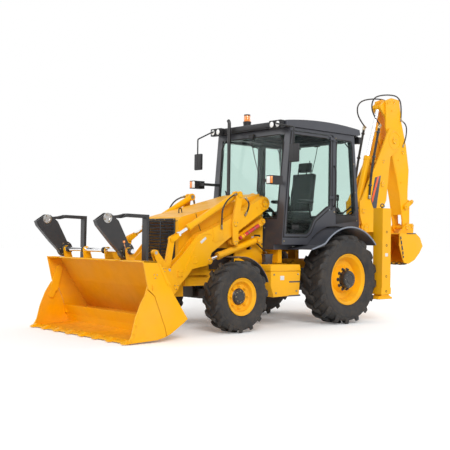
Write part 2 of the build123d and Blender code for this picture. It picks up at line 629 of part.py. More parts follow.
# ---------------------------------------------------------------- exhaust stack
STACK = (-352.0, 938.0)
STACK_R = 27.0
with BuildPart() as exhaust_stack:
    post(*STACK, 45, 1890, 1905)
    post(*STACK, STACK_R, 1905, 3020)
    with BuildSketch(Plane(origin=(STACK[0], FRONT_AXLE_Y + STACK[1], 3020), z_dir=(0, 0, 1))) as mouth:
        Circle(STACK_R)
    revolve(mouth.sketch, axis=Axis((STACK[0] - 70, FRONT_AXLE_Y + STACK[1], 3020), (0, -1, 0)), revolution_arc=50)
finish(exhaust_stack, "exhaust_stack")

# ---------------------------------------------------------------- loader arms and their levers
ARM_TOP = ((793, 1853), (206, 1549), (108, 1496), (-131, 1398), (-376, 1305), (-467, 1223), (-638, 1037), (-821, 880))
ARM_FOOT = ((-875, 665), (-756, 560), (-542, 771), (-481, 842), (-219, 887), (-146, 1060), (129, 1235), (881, 1685))
CROSS_TUBE = (-700, 850)
LEVER_BOSS_R = 33.0             # small, so that the bucket's link pin passes it
with BuildPart() as loader_arms:
    plate(ARM_TOP + ARM_FOOT, *ARM_X)
    disc(ARM_PIVOT, 100, *ARM_X)
    disc(BUCKET_PIVOT, 75, *ARM_X)
    hull_plate(((LEVER_PIVOT, LEVER_BOSS_R), ((-770, 790), 46)), *ARM_X)
    hull_plate(((LIFT_EYE, 50), ((-260, 1010), 60)), *ARM_X)
    # the forked front, open for the levers, and the ears for the lift rods
    plate(((-1000, 1000), (-1000, 640), (-862, 640), (-830, 704), (-800, 712), (-480, 980), (-400, 1400), (-900, 1400)),
          *SLOT_X, mode=Mode.SUBTRACT)
    plate(((-300, 880), (-360, 1000), (-40, 1100), (-40, 880)), ARM_MID_X - 34, ARM_MID_X + 34, mode=Mode.SUBTRACT)
    for at, radius in ((ARM_PIVOT, 38), (BUCKET_PIVOT, 30), (LEVER_PIVOT, LEVER_PIN_R)):
        disc(at, radius + PIN_FIT, *ARM_X, mode=Mode.SUBTRACT)
    disc(CRANK_PIVOT, 30, ARM_X[1], CRANK_X[1] + 4)
    disc(CRANK_PIVOT, 60, ARM_X[1], ARM_X[1] + 4)
    disc(CROSS_TUBE, 55, 0, ARM_X[0] + 5)
    mirror(about=Plane.YZ)
finish(loader_arms, "loader_arms")

with BuildPart() as bell_cranks:
    hull_plate(((TILT_BASE, 50), (CRANK_PIVOT, 60)), *CRANK_X)
    hull_plate(((CRANK_PIVOT, 60), (LEVEL_FRONT, 45)), *CRANK_X)
    disc(LEVEL_FRONT, 25, LEVEL_X[0] - 4, CRANK_X[0])
    disc(CRANK_PIVOT, 30 + PIN_FIT, *CRANK_X, mode=Mode.SUBTRACT)
    disc(TILT_BASE, 30 + PIN_FIT, *CRANK_X, mode=Mode.SUBTRACT)
    mirror(about=Plane.YZ)
finish(bell_cranks, "bell_cranks")

STRUT_X = 555.0
with BuildPart() as level_links:
    hull_plate(((LEVEL_FRONT, 42), (LEVEL_REAR, 45)), *LEVEL_X)
    disc(LEVEL_FRONT, 25 + OPEN_FIT, *LEVEL_X, mode=Mode.SUBTRACT)
    disc(LEVEL_REAR, 28 + PIN_FIT, *LEVEL_X, mode=Mode.SUBTRACT)
    shaft(LEVEL_FRONT, LEVEL_REAR, STRUT_X, 26, 120, 560)
    for distance in (180, 500):
        disc(point_on(LEVEL_FRONT, LEVEL_REAR, distance), 18, LEVEL_X[1] - 5, STRUT_X)
    mirror(about=Plane.YZ)
finish(level_links, "level_links")

# the bucket's pins, with a heavy head inside the ears
PIN_HEAD_R = 65.0
with BuildPart() as bucket_pins:
    disc(BUCKET_PIVOT, PIN_HEAD_R, 312, 400)
    disc(BUCKET_PIVOT, 30, 400, 595)
    mirror(about=Plane.YZ)
finish(bucket_pins, "bucket_pins")

# name, pivot, radius, inner x, outer x
PINS = (
    ("lever_pins", LEVER_PIVOT, LEVER_PIN_R, 432, 563),
    ("link_pins", LINK_TOP, 22, 460, 535),
    ("tilt_pins", TILT_BASE, 30, 468, 603),
)
for label, at, radius, inner, outer in PINS:
    with BuildPart() as pins:
        disc(at, radius, inner, outer)
        mirror(about=Plane.YZ)
    finish(pins, label)

with BuildPart() as tilt_levers:
    hull_plate(((LEVER_PIVOT, 48), (TILT_EYE, 40)), *LEVER_X)
    hull_plate(((LEVER_PIVOT, 48), (LINK_TOP, 40)), *LEVER_X)
    disc(LEVER_PIVOT, LEVER_PIN_R + PIN_FIT, *LEVER_X, mode=Mode.SUBTRACT)
    disc(LINK_TOP, 22 + PIN_FIT, *LEVER_X, mode=Mode.SUBTRACT)
    mirror(about=Plane.YZ)
finish(tilt_levers, "tilt_levers")

with BuildPart() as bucket_links:
    for low, high in LINK_X:
        hull_plate(((LINK_TOP, 38), (LINK_FOOT, 34)), low, high)
        disc(LINK_TOP, 22 + PIN_FIT, low, high, mode=Mode.SUBTRACT)
        disc(LINK_FOOT, 25 + OPEN_FIT, low, high, mode=Mode.SUBTRACT)
    mirror(about=Plane.YZ)
finish(bucket_links, "bucket_links")

# ---------------------------------------------------------------- front bucket
BACK_SIDE = ((-1707, 977), (-1498, 972), (-1303, 649), (-1026, 259), (-1077, 220), (-1281, 93), (-1340, 70),
             (-1366, 166), (-1530, 560), (-1624, 640))
JAW_SIDE = ((-1632, 628), (-1727, 486), (-1803, 307), (-1853, 110), (-1905, 14), (-1480, 32), (-1349, 64),
            (-1374, 166), (-1538, 555))
BACK_SHEET = ((-1498, 972), (-1303, 649), (-1026, 259), (-1077, 220), (-1281, 93), (-1340, 70))
LUG_CENTRES = (-840.0, -330.0, 190.0, 530.0, 670.0)
with BuildPart() as bucket_back:
    for facing in (-1, 1):
        plate(BACK_SIDE, *pair(HALF_WIDTH - BUCKET_PLATE, HALF_WIDTH, facing))
        disc(JAW_PIVOT, 30, *pair(HALF_WIDTH - 48, HALF_WIDTH, facing))
        for low, high in BUCKET_EAR_X:
            hull_plate(((BUCKET_PIVOT, 55), (LINK_FOOT, 45), ((-1290, 630), 10), ((-1052, 300), 10)),
                       *pair(low, high, facing))
            disc(BUCKET_PIVOT, 30 + PIN_FIT, *pair(low, high, facing), mode=Mode.SUBTRACT)
        # the link pin is left open at the lever, which swings past it
        disc(LINK_FOOT, 25, *pair(BUCKET_EAR_X[0][0], LINK_X[0][1], facing))
        disc(LINK_FOOT, 25, *pair(LINK_X[1][0], BUCKET_EAR_X[1][1], facing))
    plate(strip(BACK_SHEET[::-1], SHEET), -HALF_WIDTH + BUCKET_PLATE, HALF_WIDTH - BUCKET_PLATE)
    for x in LUG_CENTRES:
        hull_plate(((FORK_SHAFT, 46), ((-1600, 985), 12), ((-1500, 965), 10)), x - 12, x + 12)
    plate(((-1640, 960), (-1640, 978), (-1498, 972), (-1508, 955)), -HALF_WIDTH + BUCKET_PLATE, HALF_WIDTH - BUCKET_PLATE)
    for x in FORK_CENTRES:
        block((x - 45, x + 45), (-1650, -1500), (900, 1000), mode=Mode.SUBTRACT)
    disc(FORK_SHAFT, FORK_SHAFT_R, -950, 760)
finish(bucket_back, "bucket_back")

JAW_SHEET = ((-1349, 64), (-1480, 32), (-1905, 14))
TEETH = 8
with BuildPart() as bucket_jaw:
    for facing in (-1, 1):
        plate(JAW_SIDE, *pair(HALF_WIDTH - BUCKET_PLATE, HALF_WIDTH, facing))
        hull_plate(((JAW_PIVOT, 50), ((-1600, 540), 60)), *pair(HALF_WIDTH - 45, HALF_WIDTH - 25, facing))
        hull_plate((((-1615, 520), 40), ((-1640, 440), 40)), *pair(HALF_WIDTH - 45, HALF_WIDTH - 5, facing))
        disc(JAW_PIVOT, 30 + PIN_FIT, *pair(HALF_WIDTH - 45, HALF_WIDTH - 25, facing), mode=Mode.SUBTRACT)
    plate(strip(JAW_SHEET, -SHEET), -HALF_WIDTH + BUCKET_PLATE, HALF_WIDTH - BUCKET_PLATE)
    plate(strip(((-1349, 64), (-1374, 166), (-1430, 300)), SHEET), -HALF_WIDTH + BUCKET_PLATE, HALF_WIDTH - BUCKET_PLATE)
    for index in range(TEETH):
        x = (index / (TEETH - 1) - 0.5) * (OVERALL_WIDTH - 100)
        plate(((-1800, 20), (-1880, 58), (-1960, 22), (-1960, 10), (-1880, 6)), x - 30, x + 30)
finish(bucket_jaw, "bucket_jaw")

FORK_ARM = ((-1500, 1180), (-1560, 1188), (-1710, 1460), (-1825, 1545), (-1900, 1545), (-2035, 1455), (-2010, 1395),
            (-1808, 1180), (-1680, 1060))
FORK_PIN_R = 20.0
with BuildPart() as fork_arms:
    for x in FORK_CENTRES:
        plate(FORK_ARM[1:], x - 35, x + 35)
        disc(FORK_SHAFT, 105, x - 35, x + 35)
        disc(FORK_SHAFT, FORK_SHAFT_R + PIN_FIT, x - 35, x + 35, mode=Mode.SUBTRACT)
        disc(FORK_HEAD, 75, x - 21, x + 21, mode=Mode.SUBTRACT)
        plate(((-1680, 1430), (-1680, 1600), (-2100, 1600), (-2100, 1480), (-1870, 1440)), x - 21, x + 21, mode=Mode.SUBTRACT)
        disc(FORK_HEAD, FORK_PIN_R, x - 35, x + 35)
finish(fork_arms, "fork_arms")

ELBOW = (-1300.0, 1545.0)
TINE_TIP_Z = 720.0
with BuildPart() as fork_tines:
    for x in FORK_CENTRES:
        disc(FORK_HEAD, 45, x - 15, x + 15)
        plate(((FORK_HEAD[0], 1470), (FORK_HEAD[0], 1510), (-1700, 1530), (-1600, 1552), ELBOW, (-1300, 1500), (-1600, 1508)),
              x - 15, x + 15)
        plate(((-1680, 1490), (-1600, 1552), ELBOW, (-1260, 1545), (-1260, 1505), (-1600, 1508)), x - 50, x + 50)
        plate(((-1300, 1530), (-1300, TINE_TIP_Z + 200), (-1285, TINE_TIP_Z), (-1270, TINE_TIP_Z), (-1260, 1530)), x - 50, x + 50)
        disc(FORK_HEAD, FORK_PIN_R + PIN_FIT, x - 15, x + 15, mode=Mode.SUBTRACT)
finish(fork_tines, "fork_tines")

# ---------------------------------------------------------------- rear frame and stabilisers
RAIL_Y = (2850.0, 2985.0)
UPPER_RAIL_Z = (1250.0, 1350.0)
LOWER_RAIL_Z = (450.0, 550.0)
LIP_Y = (2955.0, 2985.0)
with BuildPart() as rear_frame:
    for facing in (-1, 1):
        block(pair(*LEG_X, facing), LEG_Y, LEG_Z)
        block(pair(LEG_X[0] - 15, LEG_X[1], facing), (LEG_Y[0] - 12, LEG_Y[1] + 15), (LEG_Z[0], 525))
        block(pair(LEG_X[0] + LEG_WALL, LEG_X[1] - LEG_WALL, facing), (LEG_Y[0] + LEG_WALL, LEG_Y[1] - LEG_WALL),
              (LEG_Z[0], LEG_Z[1] - 15), mode=Mode.SUBTRACT)
        block(pair(220, 300, facing), (2790, 2850), (500, 1320))
    block((-LEG_X[0], LEG_X[0]), RAIL_Y, UPPER_RAIL_Z)
    block((-LEG_X[0], LEG_X[0]), RAIL_Y, LOWER_RAIL_Z)
    block((-LEG_X[0], LEG_X[0]), LIP_Y, (UPPER_RAIL_Z[1], UPPER_RAIL_Z[1] + 40))
    block((-LEG_X[0], LEG_X[0]), LIP_Y, (LOWER_RAIL_Z[0] - 40, LOWER_RAIL_Z[0]))
finish(rear_frame, "rear_frame")

with BuildPart() as stabiliser:
    inset = LEG_WALL + GAP
    block((LEG_X[0] + inset, LEG_X[1] - inset), (LEG_Y[0] + inset, LEG_Y[1] - inset), (375, 1400))
    block((900, 1165), (2720, 3060), (350, 380))
    block((930, 1150), (2760, 3030), (380, 400))
    fillet(stabiliser.edges().filter_by(Axis.Z).filter_by(lambda e: e.length < 31), radius=25)
finish(stabiliser, "stabiliser_left")
finish_mirror(stabiliser, "stabiliser_right")

SWING_PIN_R = 45.0
LUGS_Z = ((950.0, 1050.0), (1450.0, 1550.0))
CARRIAGE_HALF = 230.0
with BuildPart() as side_shift_carriage:
    block((-CARRIAGE_HALF, CARRIAGE_HALF), (LIP_Y[1] + GAP, 3110), (375, 1600))
    block((-CARRIAGE_HALF, CARRIAGE_HALF), (2920, 3050), (1395, 1430))
    block((-CARRIAGE_HALF, CARRIAGE_HALF), (2920, LIP_Y[0] - GAP), (1355, 1430))
    block((-CARRIAGE_HALF, CARRIAGE_HALF), (2920, 3050), (365, 405))
    block((-CARRIAGE_HALF, CARRIAGE_HALF), (2920, LIP_Y[0] - GAP), (365, 445))
    for low, high in LUGS_Z:
        with BuildSketch(level(low)) as lug:
            with Locations((0, SWING_Y)):
                Circle(105)
            with Locations((-150, 3095), (150, 3095)):
                Circle(30)
            make_hull()
        extrude(lug.sketch, amount=high - low)
        post(0, SWING_Y, SWING_PIN_R + PIN_FIT, low, high, mode=Mode.SUBTRACT)
finish(side_shift_carriage, "side_shift_carriage")

with BuildPart() as kingpost:
    post(0, SWING_Y, 90, LUGS_Z[0][1] + GAP, LUGS_Z[1][0] - GAP)
    post(0, SWING_Y, SWING_PIN_R, LUGS_Z[0][0] - 15, LUGS_Z[1][1] + 15)
    for facing in (-1, 1):
        low, high = pair(*KINGPOST_X, facing)
        plate(((3310, 1060), (3310, 1440), (3455, 1440), (3560, 1520), (3620, 1530), (3690, 1460), (3690, 1160),
               (3620, 1090), (3430, 1060)), low, high)
        disc(BOOM_PIVOT, 75, low, high)
        disc(BOOM_RAM_BASE, 70, low, high)
        disc(BOOM_PIVOT, 38 + PIN_FIT, low, high, mode=Mode.SUBTRACT)
    plate(((3390, 1060), (3390, 1440), (3425, 1440), (3425, 1060)), -KINGPOST_X[1], KINGPOST_X[1])
    disc(BOOM_RAM_BASE, 32, -KINGPOST_X[1] - 8, KINGPOST_X[1] + 8)
finish(kingpost, "kingpost")

# ---------------------------------------------------------------- boom and dipper
BOOM = ((3463, 1918), (3505, 1935), (3727, 2308), (3966, 2693), (4111, 2970), (4209, 3166), (4259, 3234), (4380, 3195),
        (4557, 3030), (4520, 2900), (4293, 2734), (4247, 2464), (4184, 1963), (3941, 1558), (3898, 1349), (3805, 1304),
        (3600, 1380), (3502, 1606), (3478, 1693))
RAM_EYE_SPACE = 52.0            # half the room left for a ram's eye between its pin stubs
BOOM_WEB = ((4050, 1740), (4184, 1963), (4247, 2464), (4285, 2690))
with BuildPart() as boom:
    for facing in (-1, 1):
        low, high = pair(*BOOM_X, facing)
        plate(BOOM, low, high)
        disc(DIPPER_PIVOT, 160, low, high)
        disc(BOOM_PIVOT, 90, low, high)
    plate(strip(BOOM_WEB, SHEET), -BOOM_X[0], BOOM_X[0])
    for at, radius in ((BOOM_PIVOT, 38), (DIPPER_RAM_BASE, 32), (DIPPER_PIVOT, 40)):
        disc(at, radius, -BOOM_X[1] - 8, BOOM_X[1] + 8)
    for facing in (-1, 1):
        disc(BOOM_RAM_EYE, 32, *pair(RAM_EYE_SPACE, BOOM_X[1] + 8, facing))
    disc((4090, 2640), 35, -BOOM_X[0], BOOM_X[0])
finish(boom, "boom")

DIPPER = ((4179, 3726), (4200, 3239), (4278, 3030), (4389, 2734), (4512, 2376), (4624, 1985), (4722, 1520), (4875, 1520),
          (4858, 1640), (4845, 1950), (4845, 2150), (4870, 2543), (4781, 2974), (4641, 3380), (4568, 3773), (4345, 3786))
DIPPER_WEB = ((4690, 1720), (4624, 1985), (4512, 2376), (4389, 2734), (4330, 2890))
with BuildPart() as dipper:
    for facing in (-1, 1):
        low, high = pair(*DIPPER_X, facing)
        plate(DIPPER, low, high)
        disc(HOE_PIVOT, 78, low, high)
        disc(DIPPER_PIVOT, 40 + PIN_FIT, low, high, mode=Mode.SUBTRACT)
        hull_plate(((DIPPER_RAM_EYE, 50), ((4240, 3680), 60), ((4260, 3480), 60)), *pair(RAM_EYE_SPACE, DIPPER_X[0], facing))
        disc(TIP_LEVER_PIVOT, 28, *pair(DIPPER_X[1], TIP_LEVER_X[1] + 6, facing))
    plate(strip(DIPPER_WEB, -SHEET), -DIPPER_X[0], DIPPER_X[0])
    disc(CROWD_BASE, 25, -DIPPER_X[0] - 4, DIPPER_X[0] + 4)
    disc((4420, 3720), 30, -DIPPER_X[0], DIPPER_X[0])
    for facing in (-1, 1):
        disc(HOE_PIVOT, 38 + PIN_FIT, *pair(*DIPPER_X, facing), mode=Mode.SUBTRACT)
finish(dipper, "dipper")

CROWD_EYE_SPACE = 29.0          # half the room for the crowd ram's eye
with BuildPart() as tipping_levers:
    for facing in (-1, 1):
        low, high = pair(*TIP_LEVER_X, facing)
        hull_plate(((TIP_LEVER_PIVOT, 45), (TIP_TOP, 38)), low, high)
        disc(TIP_LEVER_PIVOT, 28 + PIN_FIT, low, high, mode=Mode.SUBTRACT)
        disc(TIP_TOP, 25, *pair(CROWD_EYE_SPACE, TIP_LEVER_X[1] + 4, facing))
finish(tipping_levers, "tipping_levers")

with BuildPart() as tipping_link:
    for facing in (-1, 1):
        low, high = pair(*TIP_LINK_X, facing)
        hull_plate(((TIP_TOP, 38), (HOE_LINK_PIN, 42)), low, high)
        disc(TIP_TOP, 25 + PIN_FIT, low, high, mode=Mode.SUBTRACT)
    disc(point_on(TIP_TOP, HOE_LINK_PIN, 250), 22, -TIP_LINK_X[0], TIP_LINK_X[0])
finish(tipping_link, "tipping_link")

# ---------------------------------------------------------------- digging bucket
HOE_SIDE = ((4404, 1387), (4396, 1175), (4487, 947), (4538, 863), (4664, 847), (4842, 914), (4983, 1037), (5080, 1162),
            (5000, 1310), (4870, 1392))
HOE_SHEET = ((4404, 1387), (4870, 1392), (5000, 1310), (5080, 1162), (4983, 1037), (4842, 914), (4664, 847), (4538, 847))
with BuildPart() as digging_bucket:
    for facing in (-1, 1):
        plate(HOE_SIDE, *pair(HOE_HALF - SHEET, HOE_HALF, facing))
        low, high = pair(*HOE_EAR_X, facing)
        hull_plate(((HOE_PIVOT, 60), (HOE_LINK_PIN, 45), ((4600, 1390), 20), ((4960, 1340), 20)), low, high)
    plate(strip(HOE_SHEET, -SHEET), -HOE_HALF + SHEET, HOE_HALF - SHEET)
    disc(HOE_PIVOT, 38, -HOE_EAR_X[1] - 6, HOE_EAR_X[1] + 6)
    for facing in (-1, 1):
        disc(HOE_LINK_PIN, 25, *pair(TIP_LINK_X[1] + GAP, HOE_EAR_X[1] + 6, facing))
    for x in (-240, -120, 0, 120, 240):
        plate(((4600, 846), (4600, 872), (4480, 838), (4480, 826)), x - 30, x + 30)
finish(digging_bucket, "digging_bucket")
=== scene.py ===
from math import cos, pi, radians, sin

import bpy
from mathutils import Matrix, Vector


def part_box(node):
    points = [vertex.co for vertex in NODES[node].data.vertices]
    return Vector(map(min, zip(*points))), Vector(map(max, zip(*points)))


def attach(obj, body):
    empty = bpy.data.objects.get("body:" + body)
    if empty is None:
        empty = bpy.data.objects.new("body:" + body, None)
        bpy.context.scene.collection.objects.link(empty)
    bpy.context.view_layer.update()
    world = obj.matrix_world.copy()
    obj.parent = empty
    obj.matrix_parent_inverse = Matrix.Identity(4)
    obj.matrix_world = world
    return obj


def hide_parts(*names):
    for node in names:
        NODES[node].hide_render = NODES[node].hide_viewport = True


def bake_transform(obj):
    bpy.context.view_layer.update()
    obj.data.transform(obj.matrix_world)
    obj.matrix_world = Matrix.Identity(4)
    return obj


bl_info = {
    "name": "Side-shift backhoe loader",
    "version": (1, 0, 0),
    "blender": (4, 5, 0),
    "location": "3D View > Sidebar > Loader",
    "description": "Tyres, hubs, glass, lamps, hoses, seat and paint for the packed loader, and its stage",
    "category": "Object",
}

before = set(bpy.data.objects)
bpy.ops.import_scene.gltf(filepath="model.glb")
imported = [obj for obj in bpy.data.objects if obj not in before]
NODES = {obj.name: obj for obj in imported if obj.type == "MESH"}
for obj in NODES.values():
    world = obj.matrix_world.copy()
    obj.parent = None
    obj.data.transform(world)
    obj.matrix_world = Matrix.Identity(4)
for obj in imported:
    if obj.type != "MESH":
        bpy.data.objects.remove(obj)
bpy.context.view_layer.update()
AXLE = sum(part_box("tyre_front_left"), Vector()) / 2
REAR_AXLE = sum(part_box("tyre_rear_left"), Vector()) / 2
HALF_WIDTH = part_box("bucket_back")[1].x
SIDES = (("left", 1), ("right", -1))
UP, AHEAD, BACK = (0, 0, 1), (0, -1, 0), (0, 1, 0)


# ------------------------------------------------------------------ places and shapes
def at(x, y, z):
    """A place in millimetres, with y counted from the front axle and z from the ground."""
    return Vector((x / 1000, y / 1000 + AXLE.y, z / 1000))


def clear():
    for other in bpy.context.selected_objects:
        other.select_set(False)


def only(obj):
    clear()
    obj.select_set(True)
    bpy.context.view_layer.objects.active = obj


def settle(obj, name=None):
    """Leave the object at the origin, with its place in its mesh."""
    if name:
        obj.name = name
    only(obj)
    bpy.ops.object.transform_apply(location=True, rotation=True, scale=True)
    return obj


def added(operator, name="part", **values):
    """A new object made by that operator, settled."""
    clear()
    operator(**values)
    return settle(bpy.context.active_object, name)


def copied(obj):
    """A copy with its own mesh, on no body."""
    copy = obj.copy()
    copy.data = obj.data.copy()
    copy.parent = None
    copy.matrix_world = Matrix.Identity(4)
    bpy.context.scene.collection.objects.link(copy)
    return copy


def modify(obj, kind, **values):
    only(obj)
    bpy.ops.object.modifier_add(type=kind)
    modifier = obj.modifiers[-1]
    for key, value in values.items():
        setattr(modifier, key, value)
    bpy.ops.object.modifier_apply(modifier=modifier.name)
    return obj


def smooth(obj, angle=35):
    only(obj)
    bpy.ops.object.shade_smooth_by_angle(angle=radians(angle))
    return obj


def soften(obj, width=3, segments=2, angle=30):
    """Round the sharp edges and shade the rest smooth."""
    modify(obj, "BEVEL", width=width / 1000, segments=segments, limit_method="ANGLE",
           angle_limit=radians(angle), use_clamp_overlap=True)
    return smooth(obj, angle)


def edit(obj):
    """Go into edit mode with every face selected."""
    only(obj)
    bpy.context.tool_settings.mesh_select_mode = (False, False, True)
    bpy.ops.object.mode_set(mode="EDIT")
    bpy.ops.mesh.select_all(action="SELECT")


def leave(obj):
    bpy.ops.object.mode_set(mode="OBJECT")
    return obj


def outward(obj, merge=True):
    """Merge the doubles and turn the faces outwards."""
    edit(obj)
    if merge:
        bpy.ops.mesh.remove_doubles(threshold=0.00005)
    bpy.ops.mesh.normals_make_consistent(inside=False)
    return leave(obj)


def box(x, y, z, width=4, segments=2):
    """A block between its (low, high) pairs, its edges rounded."""
    low, high = at(x[0], y[0], z[0]), at(x[1], y[1], z[1])
    block = added(bpy.ops.mesh.primitive_cube_add, size=1, location=(low + high) / 2, scale=high - low)
    return soften(block, width, segments)


def bar(start, end, radius, sides=24, width=2):
    """A round or many-sided bar between two places, its ends rounded."""
    start, end = at(*start), at(*end)
    turn = (end - start).to_track_quat("Z", "Y").to_euler()
    rod = added(bpy.ops.mesh.primitive_cylinder_add, vertices=sides, radius=radius / 1000,
                depth=(end - start).length, location=(start + end) / 2, rotation=turn)
    return soften(rod, width)


def disc(sides, radius, depth, height, width):
    """A short round or many-sided block on the Z axis, its middle at a height, in millimetres."""
    block = added(bpy.ops.mesh.primitive_cylinder_add, vertices=sides, radius=radius / 1000,
                  depth=depth / 1000, location=(0, 0, height / 1000))
    return soften(block, width, 1)


def draw(places, fill=True):
    """A line drawn point by point, filled to a flat face, and left in edit mode."""
    obj = added(bpy.ops.mesh.primitive_plane_add, size=0.01, location=places[0])
    bpy.context.tool_settings.mesh_select_mode = (True, False, False)
    bpy.ops.object.mode_set(mode="EDIT")
    bpy.ops.mesh.select_all(action="SELECT")
    bpy.ops.mesh.merge(type="CENTER")
    for start, end in zip(places, places[1:]):
        bpy.ops.mesh.extrude_vertices_move(TRANSFORM_OT_translate={"value": end - start})
    bpy.ops.mesh.select_all(action="SELECT")
    if fill:
        bpy.ops.mesh.edge_face_add()
    return obj


def plate(outline, x, width=3, segments=2):
    """A plate with a (y, z) outline, extruded between two x."""
    obj = draw([at(x[0], *point) for point in outline])
    bpy.ops.mesh.extrude_region_move(TRANSFORM_OT_translate={"value": ((x[1] - x[0]) / 1000, 0, 0)})
    return soften(outward(leave(obj)), width, segments)


def turned(centre, profile, steps=48, axis=(1, 0, 0), angle=35):
    """A turned shape: its profile is in millimetres along the axis and out from it."""
    axis = Vector(axis)
    out = Vector(UP) if abs(axis.z) < 0.9 else Vector(AHEAD)
    out = (out - axis * out.dot(axis)).normalized()
    line = [centre + axis * (along / 1000) + out * (radius / 1000) for along, radius in profile]
    obj = draw(line, fill=False)
    bpy.ops.mesh.spin(steps=steps, angle=2 * pi, center=centre, axis=axis)
    return smooth(outward(leave(obj)), angle)


def tube(points, radius, sides=10, order=3):
    """A hose, pipe or bead along one line through the middle of its points: order 2 keeps the corners."""
    curve = bpy.data.curves.new("tube", "CURVE")
    curve.dimensions = "3D"
    spline = curve.splines.new("NURBS")
    spline.points.add(len(points) - 1)
    for point, place in zip(spline.points, points):
        point.co = (*at(*place), 1)
    spline.order_u = order
    spline.use_endpoint_u = True
    spline.resolution_u = 6
    curve.bevel_depth = radius / 1000
    curve.bevel_resolution = sides // 4
    curve.use_fill_caps = True
    obj = bpy.data.objects.new("tube", curve)
    bpy.context.scene.collection.objects.link(obj)
    only(obj)
    bpy.ops.object.convert(target="MESH")
    return smooth(bpy.context.active_object, 50)


def loop(x, outline, radius):
    """A bead round a (y, z) outline at one x."""
    line = [(x, *point) for point in outline]
    return tube(line + line[:2], radius, order=2)


def joined(name, parts):
    bpy.context.view_layer.update()
    only(parts[0])
    for part in parts[1:]:
        part.select_set(True)
    if len(parts) > 1:
        bpy.ops.object.join()
    return settle(bpy.context.active_object, name)


def placed(obj, matrices, name="set"):
    """Copies of one piece at several places, joined; the pattern piece goes."""
    copies = []
    for matrix in matrices:
        copy = copied(obj)
        copy.matrix_world = matrix
        copies.append(copy)
    bpy.data.objects.remove(obj)
    return joined(name, copies)


def mirrored(obj):
    return modify(obj, "MIRROR", use_axis=(True, False, False), use_mirror_merge=False)


def other_side(obj, name):
    """The same piece for the machine's other side."""
    copy = copied(obj)
    copy.scale.x = -1
    return outward(settle(copy, name), merge=False)


def facing(place, direction):
    """The matrix that sets a piece made at the origin, facing +Z, at a place and direction."""
    return Matrix.Translation(place) @ Vector(direction).to_track_quat("Z", "Y").to_matrix().to_4x4()


def around(centre, count, radius, direction=(1, 0, 0), start=0.0, size=1.0):
    """Matrices of a ring of pieces that face along a direction."""
    base = facing(centre, direction)
    out = Matrix.Translation((radius / 1000, 0, 0)) @ Matrix.Scale(size, 4)
    return [base @ Matrix.Rotation(start + 2 * pi * step / count, 4, "Z") @ out for step in range(count)]


def hexagon(across=24, height=10):
    """A bolt head on its washer, made at the origin, facing +Z."""
    return smooth(joined("bolt", [disc(6, across / 2, height, height / 2 + 2, 1.5),
                                  disc(16, across / 1.6, 3, 1.5, 0.8)]))


def bolts(places, direction=(1, 0, 0), across=24):
    """Bolt heads at several places, all facing one way."""
    return placed(hexagon(across), [facing(place, direction) for place in places])


def ring(centre, radius, thick, direction=(1, 0, 0)):
    """A bead of weld in a ring."""
    turn = Vector(direction).to_track_quat("Z", "Y").to_euler()
    obj = added(bpy.ops.mesh.primitive_torus_add, location=centre, rotation=turn,
                major_radius=radius / 1000, minor_radius=thick / 1000, major_segments=36, minor_segments=8)
    return smooth(outward(obj, merge=False), 60)


def inset(outline, step):
    """An outline moved inwards by a step, its corners kept sharp."""
    turning = sum(a[0] * b[1] - b[0] * a[1] for a, b in zip(outline, outline[1:] + outline[:1]))
    sign = 1 if turning > 0 else -1
    moved = []
    for before, corner, after in zip(outline[-1:] + outline[:-1], outline, outline[1:] + outline[:1]):
        lines = ((Vector(b) - Vector(a)).normalized() for a, b in ((before, corner), (corner, after)))
        inward = [Vector((-line.y, line.x)) * sign for line in lines]
        middle = (inward[0] + inward[1]).normalized()
        moved.append(tuple(Vector(corner) + middle * (step / max(0.2, middle.dot(inward[0])))))
    return moved


# ------------------------------------------------------------------ effects shared by the finishes
class Network:
    """Short names for adding and joining shader nodes."""

    def __init__(self, tree):
        self.tree = tree
        self.link = tree.links.new

    def add(self, kind, inputs=None, **values):
        node = self.tree.nodes.new(kind)
        for key, value in values.items():
            setattr(node, key, value)
        for key, value in (inputs or {}).items():
            if isinstance(value, bpy.types.NodeSocket):
                self.link(value, node.inputs[key])
            else:
                node.inputs[key].default_value = value
        return node

    def place(self):
        return self.add("ShaderNodeTexCoord").outputs["Object"]

    def noise(self, vector, scale, detail=4.0, roughness=0.55):
        inputs = {"Vector": vector, "Scale": scale, "Detail": detail, "Roughness": roughness}
        return self.add("ShaderNodeTexNoise", inputs).outputs["Fac"]

    def ramp(self, value, low, high, start=0.0, end=1.0):
        """The value between low and high, spread over start to end."""
        inputs = {"Value": value, "From Min": low, "From Max": high, "To Min": start, "To Max": end}
        return self.add("ShaderNodeMapRange", inputs, clamp=True).outputs["Result"]

    def math(self, kind, first, second):
        return self.add("ShaderNodeMath", {0: first, 1: second}, operation=kind).outputs[0]

    def plus(self, first, second):
        return self.math("ADD", first, second)

    def times(self, first, second):
        return self.math("MULTIPLY", first, second)

    def mix(self, share, first, second):
        return self.add("ShaderNodeMix", {0: share, 6: first, 7: second}, data_type="RGBA").outputs[2]

    def seen(self):
        """Where the camera looks straight, in a reflection or through glass."""
        path = self.add("ShaderNodeLightPath").outputs
        direct = self.math("MAXIMUM", path["Is Camera Ray"], path["Is Glossy Ray"])
        return self.math("MAXIMUM", direct, path["Is Transmission Ray"])


